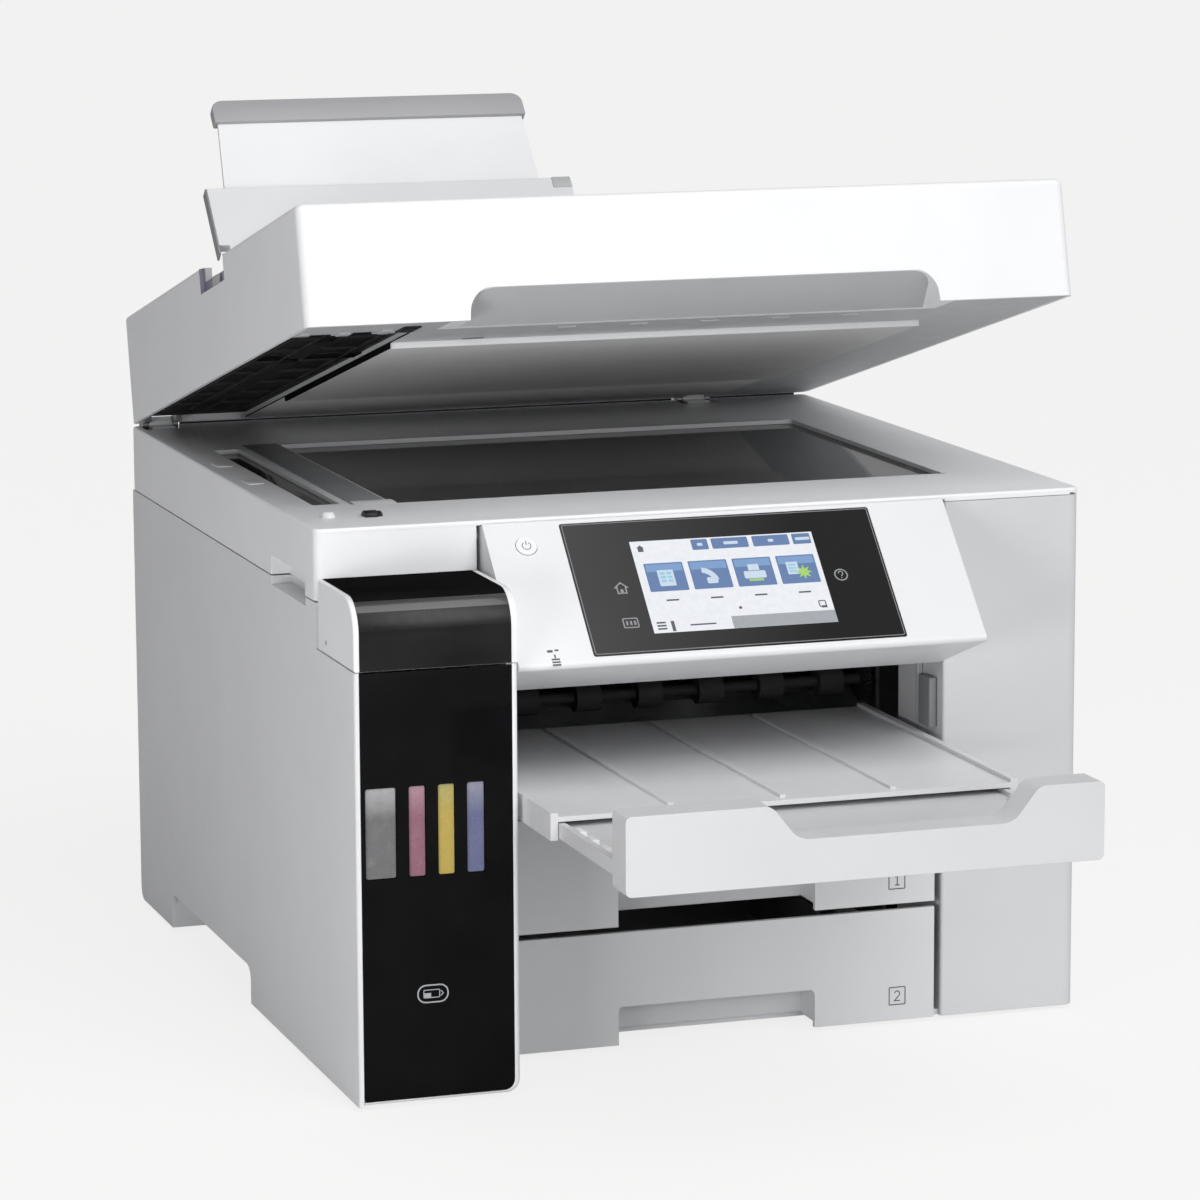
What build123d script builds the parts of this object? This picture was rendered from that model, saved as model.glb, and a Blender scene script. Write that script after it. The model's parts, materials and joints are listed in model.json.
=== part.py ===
from build123d import *
import os

# An office inkjet printer with refillable ink tanks at the front left, a flatbed scanner under a
# thick feeder lid, two stacked paper cassettes and a telescopic output tray.
# Millimetres, +Z up, X to the right seen from the front, Y to the back. While the pieces are being
# drawn, Y = 0 is the main front plane; export() moves everything so that the origin is under the
# middle of the whole object. The rest pose has the lid part open, the tray drawn out and the
# feeder's support flap up.

# ---------------------------------------------------------------- driving dimensions
WIDTH = 425.0
BODY_DEPTH = 416.0
REAR_Y = 430.0
TANK_REACH = 72.0
TRAY_REACH = 226.0
WALL = 2.5
FOOT = 2.0
SEAM_Z = 250.0
SEAM_GAP = 0.4
TOP_Z = 287.6
TOP_PLATE = 2.5
LID_THICK = 64.0
LID_DEPTH = 417.0
LID_OPEN = 14.1
FLAP_LEAN = 29.0

HALF = WIDTH / 2
ORIGIN_Y = (REAR_Y - TRAY_REACH) / 2
CASE_TOP = TOP_Z - TOP_PLATE

# The paper bay between the ink tank column and the right front panel.
TANK_RIGHT = -127.0
PANEL_LEFT = 134.0
PANEL_TOP = 283.7
FRAME_LEFT = -128.5
FRAME_RIGHT = 131.0
FRAME_WALL = 2.0
PANEL_BAY = 66.0

# Hinge axes along X, as (Y, Z).
LID_AXIS = (BODY_DEPTH, 288.0)
SCANNER_AXIS = (421.0, 252.5)
PANEL_AXIS = (8.0, 279.0)
TANK_COVER_AXIS = (-7.5, 256.5)
REAR_COVER_AXIS = (427.0, 71.0)

# Control panel: the sloping face runs down from its top edge to its bottom edge.
PANEL_X = (-124.0, 131.8)
FACE_TOP = (-0.5, 287.3)
FACE_BOTTOM = (-66.0, 220.4)
PANEL_HEEL = (-0.5, 197.4)
BUTTON_X = -103.4
BUTTON_S = -17.4

# Rollers across the bay, as (Y, Z), and their shaft radii.
FEED_ROLLER = (215.0, 170.0)
EXIT_ROLLER = (105.0, 170.0)
STAR_SHAFT = (105.0, 184.0)
PICKUP_Y = 318.0
PAPER_Z = 178.0
SHAFT_R = 3.0
STAR_SHAFT_R = 1.5
RUN = 0.05

# Cassettes: the front face of each and the step between them.
CASSETTE_X = (-125.5, 129.8)
CASSETTE_STEP = 64.4
CASSETTE_FACE_Z = (FOOT, 63.2)
CASSETTE_DEPTH = 335.0
GRIP_X = (-50.0, 61.0)
GRIP_HEIGHT = 20.8

# Scanner: the two panes as (X, X, Y, Y), and the guide rod's (Y, Z).
GLASS = (-150.0, 163.0, 73.0, 308.0)
STRIP = (-192.0, -177.0, 80.0, 298.0)
ROD = (250.0, 260.0)

# Each data socket: X, Z, width and height.
SOCKETS = ((-175, 186, 12, 11), (-175, 166, 13, 7), (-175, 147, 15, 13), (-175, 129, 11, 9))

# Ink: left edge, right edge and window (left, right) of each tank.
TANKS = {
    "black": (-208.6, -189.0, -207.5, -191.3),
    "magenta": (-188.0, -173.5, -184.8, -176.0),
    "yellow": (-172.5, -157.8, -169.5, -160.7),
    "cyan": (-156.8, -134.4, -154.3, -145.0),
}
WINDOW_Z = (119.7, 166.5)
TANK_TOP = 212.0
INK_TOP = 225.8
INK_LEFT = -209.8
TANK_COVER_TOP = 262.4
FILLER_Y = -40.0

# The feeder on the lid, in the lid's own frame: Y from the hinge axis, Z above it.
FLAP_PIVOT = (-246.0, 60.0)
FEEDER_X = (-209.0, -1.5)
TROUGH_FRONT = -257.0
TROUGH_BACK = -197.0
TROUGH_FLOOR = 49.0
LEAF_BACK = -135.2
LEAF_FLOOR = 56.0
COVER_HINGE = (-352.0, 59.6)
ADF_ROLLER = (-275.0, 36.0)
BED_RIGHT = -147.0


# ---------------------------------------------------------------- drawing helpers
def block(x0, x1, y0, y1, z0, z1):
    centre = Pos((x0 + x1) / 2, (y0 + y1) / 2, (z0 + z1) / 2)
    return centre * Box(x1 - x0, y1 - y0, z1 - z0)


def outline(points, radii=None):
    """A closed outline with rounded corners; radii maps a point's index to its radius."""
    face = make_face(Polyline(*points, close=True))
    for index, radius in (radii or {}).items():
        corner = Vector(*points[index])
        vertex = min(face.vertices(), key=lambda v: (Vector(v.X, v.Y) - corner).length)
        face = fillet(vertex, radius)
    return face


def along_x(points, x0, x1, radii=None):
    """Extrude an outline of (Y, Z) points from x0 to x1."""
    return extrude(Plane.YZ.offset(x0) * outline(points, radii), x1 - x0)


def along_y(points, y0, y1, radii=None):
    """Extrude an outline of (X, Z) points from y0 to y1."""
    return extrude(Plane.XZ.offset(-y1) * outline(points, radii), y1 - y0)


def along_z(points, z0, z1, radii=None):
    """Extrude an outline of (X, Y) points from z0 to z1."""
    return extrude(Plane.XY.offset(z0) * outline(points, radii), z1 - z0)


def rod_x(radius, x0, x1, y, z):
    return Pos((x0 + x1) / 2, y, z) * Rot(0, 90, 0) * Cylinder(radius, x1 - x0)


def rod_y(radius, y0, y1, x, z):
    return Pos(x, (y0 + y1) / 2, z) * Rot(90, 0, 0) * Cylinder(radius, y1 - y0)


def rod_z(radius, z0, z1, x, y):
    return Pos(x, y, (z0 + z1) / 2) * Cylinder(radius, z1 - z0)


def rounded_box(x0, x1, y0, y1, z0, z1, radius, axis=Axis.Z):
    shape = block(x0, x1, y0, y1, z0, z1)
    return fillet(shape.edges().filter_by(axis), radius)


def mirror_x(shape):
    return mirror(shape, about=Plane.YZ)


# ---------------------------------------------------------------- base
def base_pan():
    """The bottom tray, cut away beside the two carrying recesses."""
    pan = block(-209.6, 209.6, 4, 414, FOOT, 5) - block(GRIP_X[0] - 4, GRIP_X[1] + 4, 0, 26, 0, 6)
    for side in (-1, 1):
        pan -= block(min(side * 187, side * 213), max(side * 187, side * 213), 146, 339, 0, 6)
    return pan


def side_cover(front):
    """A left side plate with the carrying recess in its lower edge; front closes its outline."""
    low, top = FOOT, SEAM_Z - SEAM_GAP
    arch = [(150, low), (150, 22.6), (335, 22.6), (335, low)]
    edge = arch + [(BODY_DEPTH, low), (BODY_DEPTH, top)] + front
    plate = along_x(edge, -HALF, -HALF + WALL, {1: 8, 2: 8, 4: 8})
    pocket = block(-HALF + WALL, -187.5, 147.5, 337.5, low, 25.1)
    pocket -= block(-HALF, -190, 150, 335, low - 1, 22.6)
    return plate + pocket


def left_side_cover():
    """The left side plate, which runs on beside the ink unit, with the lower half of a finger recess."""
    top = SEAM_Z - SEAM_GAP
    cover = side_cover([(0.6, top), (0.6, INK_TOP), (-TANK_REACH, INK_TOP), (-TANK_REACH, FOOT)])
    front_edge = cover.edges().filter_by(Axis.Z).group_by(Axis.Y)[0].sort_by(Axis.X)[0]
    cover = fillet(front_edge, 1.8)
    cover += block(-HALF, -198, 17.5, 92.5, 242.5, top)
    cover -= block(-HALF - 1, -200.5, 20, 90, 245, SEAM_Z)
    return cover


def right_side_cover():
    return mirror_x(side_cover([(15.2, SEAM_Z - SEAM_GAP), (15.2, FOOT)]))


def right_front_panel():
    """The tall front panel at the right, with its inner return beside the paper bay."""
    plan = [(PANEL_LEFT, 0), (HALF, 0), (HALF, 14.8), (HALF - WALL, 14.8), (HALF - WALL, WALL),
            (PANEL_LEFT + WALL, WALL), (PANEL_LEFT + WALL, 64), (PANEL_LEFT, 64)]
    panel = along_z(plan, FOOT, PANEL_TOP, {0: 1.5, 1: 6, 4: 3.5})
    top = [(PANEL_LEFT, 0), (HALF, 0), (HALF, 14.8), (PANEL_LEFT, 14.8)]
    panel += along_z(top, 281, PANEL_TOP, {0: 1.5, 1: 6})
    panel -= rod_x(2.5 + RUN, PANEL_LEFT - 1, PANEL_LEFT + WALL + 1, *PANEL_AXIS)
    panel -= block(PANEL_LEFT - 1, PANEL_LEFT + 4, 3.5, 70, 0, 5.2)
    return panel


def rear_panel():
    """The shallow rear cover with openings for the jam door, the sockets and the waste box."""
    panel = rounded_box(-209, 209, 416.3, REAR_Y, 4, 248, 4, Axis.Y)
    panel -= block(-206.5, 206.5, 410, REAR_Y - WALL, 6.5, 245.5)
    for x0, x1, z0, z1 in ((-118.5, 118.5, 65, 226), (-192, -158, 118, 202), (-199, -167, 29, 55),
                           (139, 201, 29, 81)):
        panel -= block(x0, x1, 410, REAR_Y + 1, z0, z1)
    for side in (-1, 1):
        ear = block(118.5, 123.5, 420.5, REAR_Y, 64, 78)
        bore = rod_x(1.5 + RUN, 117, 122, *REAR_COVER_AXIS)
        for x0 in (183, 196.4):
            ear += block(x0, x0 + 4.6, 416.9, 425.1, 245.5, SCANNER_AXIS[1])
            ear += rod_x(4.1, x0, x0 + 4.6, *SCANNER_AXIS)
        bore += rod_x(2.5 + RUN, 182, 200, *SCANNER_AXIS)
        panel += ear if side > 0 else mirror_x(ear)
        panel -= bore if side > 0 else mirror_x(bore)
    for slot in range(12):
        panel -= block(136 + slot * 5, 138.4 + slot * 5, 424, REAR_Y + 1, 180, 225)
    return panel


def rubber_feet():
    foot = rod_z(9, 0, FOOT, 185, 30) + rod_z(9, 0, FOOT, 185, 390)
    return foot + mirror_x(foot)


def print_frame():
    """The steel frame: two walls that carry the rollers, and the deck over the cassettes."""
    low = 5
    wall = [(8, low), (405, low), (405, 192), (209, 192), (209, 174), (116, 174), (116, 192),
            (90, 192), (90, 140), (8, 140)]
    left = along_x(wall, FRAME_LEFT - FRAME_WALL, FRAME_LEFT)
    left += along_x([(4.5, 130), (20, 130), (20, 284.5), (4.5, 284.5)], FRAME_LEFT - FRAME_WALL, FRAME_LEFT)
    left -= rod_x(2.5 + RUN, FRAME_LEFT - 5, FRAME_LEFT + 5, *PANEL_AXIS)
    right = along_x([(78, low)] + wall[1:8] + [(90, 140), (78, 140)], FRAME_RIGHT, FRAME_RIGHT + FRAME_WALL)
    frame = left + right + block(FRAME_LEFT, FRAME_RIGHT, 14, 300, 129.5, 132)
    across = (FRAME_LEFT - 5, FRAME_RIGHT + 5)
    for centre, radius in ((FEED_ROLLER, SHAFT_R), (EXIT_ROLLER, SHAFT_R), (STAR_SHAFT, STAR_SHAFT_R),
                           ((PICKUP_Y, 50), SHAFT_R), ((PICKUP_Y, 50 + CASSETTE_STEP), SHAFT_R)):
        frame -= rod_x(radius + RUN, *across, *centre)
    return frame


def platen():
    """The ribbed bridge that holds the sheet under the print head."""
    bridge = block(FRAME_LEFT, FRAME_RIGHT, 118, 202, 162, 171)
    for rib in range(24):
        x = -118 + rib * 10.4
        bridge += block(x, x + 1.6, 122, 198, 171, PAPER_Z - 1)
    return bridge


def carriage_rail():
    """The pressed steel rail behind the carriage."""
    rail = block(-203, 206, 210, 212, 192, 242)
    rail += block(-203, 206, 198, 210, 192, 194)
    rail += block(-203, 206, 204, 210, 240, 242)
    return rail - rod_y(2.2, 209, 213, 192, 220)


def carriage_belt():
    """The toothed belt's loop, on edge in front of the rail."""
    outer = along_y([(-196, 212), (200, 212), (200, 228), (-196, 228)], 200.5, 206.5,
                    {0: 7.9, 1: 7.9, 2: 7.9, 3: 7.9})
    inner = along_y([(-194.8, 213.2), (198.8, 213.2), (198.8, 226.8), (-194.8, 226.8)], 200, 207,
                    {0: 6.7, 1: 6.7, 2: 6.7, 3: 6.7})
    return outer - inner


def carriage_motor():
    """The motor behind the rail, its pulley inside the belt's right end."""
    motor = rod_y(15, 212, 240, 192, 220) + rod_y(6.5, 200.8, 206.2, 192, 220)
    motor += rod_y(2, 200, 212, 192, 220)
    return motor


def circuit_board():
    board = block(-206, -204.4, 110, 360, 70, 230)
    for y0, z0, dy, dz, dx in ((130, 90, 30, 30, 3), (190, 150, 44, 34, 9), (260, 90, 60, 20, 14),
                               (270, 170, 24, 30, 18), (140, 190, 40, 14, 12)):
        board += block(-204.4, -204.4 + dx, y0, y0 + dy, z0, z0 + dz)
    return board


def power_supply():
    supply = block(142, 205, 90, 290, 26, 110)
    return supply - block(144, 203, 92, 288, 28, 108)


def power_inlet():
    """The mains inlet: a recess with three blades, held in the rear panel."""
    inlet = rounded_box(-198.5, -167.5, 408, 429.4, 29.5, 54.5, 3, Axis.Y)
    inlet -= rounded_box(-195, -171, 412, 430, 34, 50, 3, Axis.Y)
    for x, z in ((-189.5, 40.5), (-176.5, 40.5), (-183, 45.5)):
        inlet += block(x - 1, x + 1, 411, 423, z - 2, z + 2)
    return inlet


def rear_ports():
    """The data sockets on their carrier plate."""
    ports = block(-191.5, -158.5, 410, 428.6, 118.5, 201.5)
    for x, z, width, height in SOCKETS:
        ports -= block(x - width / 2, x + width / 2, 416, 429, z - height / 2, z + height / 2)
    return ports


# ---------------------------------------------------------------- print mechanism
def print_carriage():
    """The carriage shell at its parking place on the right."""
    shell = rounded_box(136, 204, 128, 194, 186, 244, 4)
    shell -= block(139, 201, 131, 191, 196, 241)
    for z in (194.4, 232):
        shell += block(142, 198, 194, 203.5 if z < 200 else 200, z, z + 4)
    return shell


def print_head():
    """The head block hanging through the carriage's floor, nozzle plate down."""
    head = block(146, 194, 138, 184, PAPER_Z + 1.5, 186)
    return head + block(143, 197, 135, 187, 196, 216) + block(150, 190, 142, 180, 186, 196)


def head_seat(shell):
    """Open the carriage floor for the head's neck."""
    return shell - block(149.5, 190.5, 141.5, 180.5, 180, 200)


def drive_roller(centre, radius, widths, x0=FRAME_LEFT - 5, x1=FRAME_RIGHT + 5, shaft=SHAFT_R):
    """A shaft across the bay with rollers on it, given as (start, end) in X."""
    roller = rod_x(shaft, x0, x1, *centre)
    for start, end in widths:
        roller += rod_x(radius, start, end, *centre)
    return roller


def spaced(first, last, count, width):
    step = (last - first) / (count - 1)
    return [(first + step * i - width / 2, first + step * i + width / 2) for i in range(count)]


def feed_roller():
    return drive_roller(FEED_ROLLER, 8, [(-118, 121)])


def exit_roller():
    return drive_roller(EXIT_ROLLER, 8, spaced(-104, 108, 7, 14))


def star_wheels():
    return drive_roller(STAR_SHAFT, 5.7, spaced(-108, 112, 14, 1.6), shaft=STAR_SHAFT_R)


def pickup_roller(level):
    return drive_roller((PICKUP_Y, 50 + level), 9, [(-22, -4), (8, 26)])


# ---------------------------------------------------------------- rear door, waste ink box
def rear_access_cover():
    """The jam door, hinged on two stubs near its lower edge, with a pull recess at the top."""
    outer = [(424, 67), (REAR_Y, 67), (REAR_Y, 225), (424, 225)]
    door = along_x(outer, -117.5, 117.5, {0: 2.5, 1: 2.5, 2: 2})
    door -= block(-40, 40, 426.5, REAR_Y + 1, 206, 221)
    for rib in range(6):
        door -= block(-95, 95, 428.8, REAR_Y + 1, 95 + rib * 16, 98 + rib * 16)
    return door + rod_x(1.5, 116, 121.5, *REAR_COVER_AXIS) + rod_x(1.5, -121.5, -116, *REAR_COVER_AXIS)


def maintenance_box():
    """The waste ink box with a grip in its end."""
    box = rounded_box(140, 200, 300, REAR_Y - 0.5, 30, 80, 2, Axis.Y)
    return box - block(152, 188, 418, REAR_Y, 62, 72)


# ---------------------------------------------------------------- ink unit
def ink_tank_housing():
    """The white column that holds the tanks, with ears for the cover's stubs; its left is open."""
    low, back = 3, -0.5
    shape = along_y([(INK_LEFT, low), (TANK_RIGHT, low), (TANK_RIGHT, INK_TOP), (INK_LEFT, INK_TOP)],
                    -TANK_REACH, back, {1: 7})
    right_edge = shape.edges().filter_by(Axis.Z).group_by(Axis.Y)[0].sort_by(Axis.X)[-1]
    shape = fillet(right_edge, 2.4)
    shape -= block(INK_LEFT - 1, TANK_RIGHT - 3, -68.6, -3, 6, 240)
    front = [(INK_LEFT - 1, 4.6), (-130.1, 4.6), (-130.1, 240), (INK_LEFT - 1, 240)]
    shape -= along_y(front, -80, -69, {1: 5.6})
    shape -= block(INK_LEFT - 1, -132.2, -70, -68, 8, 240)
    for x0 in (-209.4, -132.6):
        ear = along_x([(-12, 215), (-2.5, 215), (-4.4, 259.3), (-11, 259.3)], x0, x0 + 2.4, {3: 2.5, 2: 2})
        shape += ear - rod_x(1.5 + RUN, x0 - 1, x0 + 4, *TANK_COVER_AXIS)
    return shape + block(-207.5, -132, -3, back, INK_TOP - 1, SEAM_Z - SEAM_GAP)


def ink_tank_front():
    """The glossy front with a level window over each tank and a small oval badge recess."""
    shape = along_y([(-209.7, 4.8), (-130.3, 4.8), (-130.3, 225.2), (-209.7, 225.2)], -TANK_REACH, -69,
                    {0: 2, 1: 5.4})
    for tank in TANKS.values():
        shape -= rounded_box(*tank[2:], -TANK_REACH - 1, -68, *WINDOW_Z, 1.2, Axis.Y)
    ring = rounded_box(-181.7, -164.8, -TANK_REACH - 1, -71.5, 53.7, 63.6, 4.6, Axis.Y)
    ring -= rounded_box(-180.7, -165.8, -TANK_REACH - 2, -70, 54.7, 62.6, 3.8, Axis.Y)
    return shape - ring


def ink_tank(color):
    """A blown tank with a filler neck; its window face stands in the front's opening."""
    left, right, w0, w1 = TANKS[color]
    tank = block(left, right, -68.4, -6, 14, TANK_TOP)
    tank += rounded_box(w0 + 0.3, w1 - 0.3, -71, -68.4, WINDOW_Z[0] + 0.3, WINDOW_Z[1] - 0.3, 1, Axis.Y)
    neck_x = (w0 + w1) / 2
    tank += rod_z(4.5, TANK_TOP, TANK_TOP + 8, neck_x, FILLER_Y)
    tank -= block(left + 1.4, right - 1.4, -66.8, -7.4, 15.4, TANK_TOP - 1.4)
    return tank - rod_z(2.6, TANK_TOP - 3, TANK_TOP + 9, neck_x, FILLER_Y)


def tank_cap(color):
    w0, w1 = TANKS[color][2:]
    x = (w0 + w1) / 2
    cap = fillet(rod_z(6.6, TANK_TOP + 0.6, 232, x, FILLER_Y).edges().group_by(Axis.Z)[-1], 1.5)
    return cap - rod_z(4.8, TANK_TOP, TANK_TOP + 8.6, x, FILLER_Y)


def tank_cover():
    """The hinged top of the ink unit, rolled over at the front."""
    def section(inset, x0, x1, floor):
        top, front = TANK_COVER_TOP - inset, -TANK_REACH + inset
        back = 5 if inset else -4
        return along_x([(back, floor), (front, floor), (front, top), (back, top)], x0, x1, {2: 18 - inset})

    cover = section(0, -HALF, TANK_RIGHT, INK_TOP + SEAM_GAP)
    cover = fillet(cover.edges().filter_by(Axis.X, reverse=True).group_by(Axis.X)[0], 1.2)
    cover -= section(2.2, -HALF + 2.8, TANK_RIGHT - 2.8, 220)
    for x0 in (-206.6, -137.4):
        lug = along_x([(-11, 253), (-4.2, 253), (-4.2, 261), (-11, 261)], x0, x0 + 4, {0: 2, 1: 2})
        cover += lug
    stubs = rod_x(1.5, -209.4, -203, *TANK_COVER_AXIS) + rod_x(1.5, -137, -130.3, *TANK_COVER_AXIS)
    return cover + stubs


# ---------------------------------------------------------------- control panel
def slope_frame():
    """A frame on the panel's face: X right, Y down the slope, Z out of the face."""
    down = Vector(0, FACE_BOTTOM[0] - FACE_TOP[0], FACE_BOTTOM[1] - FACE_TOP[1])
    normal = Vector(1, 0, 0).cross(down.normalized())
    if normal.Y > 0:
        normal = normal * -1
    return Plane(origin=(0, *FACE_TOP), x_dir=(1, 0, 0), z_dir=normal)


def on_face(x0, x1, s0, s1, low, high, radius):
    """A rounded plate on the face, from s0 to s1 down the slope and low to high out of it."""
    frame = slope_frame()
    sign = -1 if frame.y_dir.Z > 0 else 1
    shape = rounded_box(x0, x1, min(sign * s0, sign * s1), max(sign * s0, sign * s1), low, high, radius)
    return frame.location * shape


def control_panel():
    """The tilting wedge: face, underside and two cheeks that carry the hinge stubs."""
    x0, x1 = PANEL_X
    hinge_y, hinge_z = PANEL_AXIS
    wedge = [FACE_TOP, FACE_BOTTOM, PANEL_HEEL, (4, 240), (hinge_y + 4, hinge_z - 6),
             (hinge_y + 4, hinge_z + 4), (FACE_TOP[0], 284.6)]
    body = along_x(wedge, x0, x1, {0: 1, 1: 2.5, 4: 3, 5: 3})
    hollow = [(-0.5, 281.5), (-61, 220.8), (2, 200.5), (20, 240), (20, 281.5)]
    body -= along_x(hollow, x0 + WALL, x1 - WALL)
    body -= block(x0 + 12, x1 - 12, 1.5, 30, 260, 300)
    body += rod_x(2.5, x0 - 6.6, x0 + WALL, *PANEL_AXIS) + rod_x(2.5, x1 - WALL, x1 + 4.4, *PANEL_AXIS)
    body -= on_face(-83.2, 88.2, 4.6, 88, -1.8, 5, 1.4)
    frame = slope_frame()
    return body - frame.location * Pos(BUTTON_X, BUTTON_S, 0) * Cylinder(5.8, 30)


def panel_glass():
    return on_face(-82.9, 87.9, 4.9, 87.7, -1.8, 0.3, 1.2)


def power_button():
    button = slope_frame().location * Pos(BUTTON_X, BUTTON_S, -1.6) * Cylinder(5.5, 4.4)
    return button


# ---------------------------------------------------------------- output tray
def tray_main():
    """The inner stage, sliding between the frame's walls."""
    y0, y1 = -115, 100
    tray = block(-120, 124, y0, y1, 152.4, 155)
    for x0, x1 in ((-124, -120), (124, 128)):
        tray += block(x0, x1, y0, y1, 143, 157)
    for x in (-60, 0, 60):
        tray += block(x, x + 3, y0 + 6, y1 - 6, 155, 156.4)
    return tray


def tray_front():
    """The outer stage with the tall front that stops the sheets, low in its middle."""
    front_y, z0, z1 = -TRAY_REACH, 138.5, 178.0
    x0, x1 = -122.0, 126.5
    face = [(x0, z0), (x1, z0), (x1, z1), (92, z1), (78, 160.5), (-34, 160.5), (-48, z1), (x0, z1)]
    front = along_y(face, front_y, front_y + 20, {0: 3, 1: 3, 2: 3, 3: 8, 4: 12, 5: 12, 6: 8, 7: 3})
    front -= block(x0 + 3, x1 - 3, front_y + 3, front_y + 18, z0 - 1, 157)
    stage = block(-117, 121, -208, -20, 146.4, 149.4)
    for a, b in ((-119.6, -116), (120, 123.6)):
        stage += block(a, b, -208, -20, 144, 151.6)
    return front + stage


# ---------------------------------------------------------------- cassettes
def cassette(level):
    """A paper cassette with its front face; the face's lower edge is cut away for the fingers."""
    x0, x1 = CASSETTE_X
    z0, z1 = CASSETTE_FACE_Z
    g0, g1 = GRIP_X
    top = z0 + GRIP_HEIGHT
    edge = [(x0, z0), (g0, z0), (g0, top), (g1, top), (g1, z0), (x1, z0), (x1, z1), (x0, z1)]
    face = along_y(edge, 0, 3, {2: 3, 3: 3})
    tray = block(-122, 126, 3, CASSETTE_DEPTH, 5.6, 38)
    tray -= block(-119.5, 123.5, 5.5, CASSETTE_DEPTH - 3, 8, 60)
    tray -= block(-60, 60, CASSETTE_DEPTH - 4, CASSETTE_DEPTH + 1, 20, 60)
    tray += block(g0 - 2.5, g1 + 2.5, 3, 24, 5.6, top + 2.5)
    tray -= block(g0, g1, -1, 21.5, 0, top)
    tray += block(-119.5, 123.5, 3, 5.5, 36, 60)
    return Pos(0, 0, level) * (face + tray)


def cassette_guide(level, side):
    """An edge guide standing on the cassette's floor against an A4 stack."""
    x = 2 + side * 105.6
    guide = block(min(x, x + side * 2), max(x, x + side * 2), 120, 230, 8.3, 36)
    guide += block(min(x, x - side * 26), max(x, x - side * 26), 168, 182, 8.3, 9.7)
    return Pos(0, 0, level) * (guide + block(min(x, x + side * 10), max(x, x + side * 10), 160, 190, 8.3, 11))


# ---------------------------------------------------------------- scanner
def scanner_case():
    """The scanner's lower case, stepped back over the control panel's bay."""
    plan = [(-HALF, 0), (-131.5, 0), (-131.5, PANEL_BAY), (137.2, PANEL_BAY), (137.2, 15.5), (HALF, 15.5),
            (HALF, BODY_DEPTH), (-HALF, BODY_DEPTH)]
    low = SEAM_Z + SEAM_GAP
    case = along_z(plan, low, CASE_TOP, {0: 5, 6: 5, 7: 5})
    case -= block(-HALF + WALL, -131.5 - WALL, WALL, 100, low + WALL, CASE_TOP + 1)
    case -= block(-HALF + WALL, HALF - WALL, PANEL_BAY + WALL, BODY_DEPTH - WALL, low + WALL, CASE_TOP + 1)
    case -= block(137.2 + WALL, HALF - WALL, 15.5 + WALL, 100, low + WALL, CASE_TOP + 1)
    case += block(-133, -126.3, 0, WALL, 262, CASE_TOP)
    case += block(-HALF, -200, 17.5, 92.5, low, 263.5)
    case -= block(-HALF - 1, -202.5, 20, 90, low - 1, 261)
    for x0 in (-203, 131):
        post = block(x0, x0 + 14, 402, BODY_DEPTH - 0.5, low + 1, 288) + rod_x(4.5, x0, x0 + 14, *LID_AXIS)
        case -= block(x0 - 4.5, x0 + 18.5, 410, BODY_DEPTH + 1, 282.4, 290)
        case += post - rod_x(2 + RUN, x0 - 1, x0 + 15, *LID_AXIS)
    lug = block(188, 196, BODY_DEPTH - 1, SCANNER_AXIS[0], low, 256.5) + rod_x(4, 188, 196, *SCANNER_AXIS)
    lug += rod_x(2.5, 183.2, 199.6, *SCANNER_AXIS)
    return case + lug + mirror_x(lug)


def scanner_top():
    """The bezel plate over the case with its two glass openings."""
    plan = [(-HALF, 0), (HALF, 0), (HALF, BODY_DEPTH), (-HALF, BODY_DEPTH)]
    plate = along_z(plan, CASE_TOP, TOP_Z, {0: 5, 1: 5, 2: 5, 3: 5})
    plate = fillet(plate.edges().group_by(Axis.Z)[-1], 1.4)
    plate += block(PANEL_LEFT, HALF - 6, 0, 2, 284, CASE_TOP)
    plate -= rounded_box(*GLASS, CASE_TOP - 1, TOP_Z + 1, 2)
    plate -= rounded_box(*STRIP, CASE_TOP - 1, TOP_Z + 1, 2)
    for x0 in (-203, 131):
        plate -= block(x0 - 5, x0 + 19, 397, BODY_DEPTH + 1, CASE_TOP - 2, TOP_Z + 1)
    return plate


def scanner_glass():
    """The flatbed pane and the feeder's narrow pane."""
    panes = []
    for x0, x1, y0, y1 in (GLASS, STRIP):
        panes.append(block(x0 - 2, x1 + 2, y0 - 2, y1 + 2, CASE_TOP - 2.5, CASE_TOP - 0.1))
    return panes[0] + panes[1]


def scan_guide_rod():
    return rod_x(3, -209.8, 209.8, *ROD)


def scan_carriage():
    """The sensor bar, parked under the feeder's pane, with a bearing on the rod."""
    bar = block(-197, -172, 84, 306, 266, 281.5)
    bar += block(-197, -172, 243, 257, 255.6, 266) - rod_x(3 + RUN, -198, -171, *ROD)
    return bar - block(-190, -179, 90, 300, 279.5, 283)


# ---------------------------------------------------------------- lid and feeder
def lid_place():
    return Pos(0, *LID_AXIS) * Rot(-LID_OPEN, 0, 0)


def flap_place():
    return lid_place() * Pos(0, *FLAP_PIVOT) * Rot(-FLAP_LEAN, 0, 0)


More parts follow.
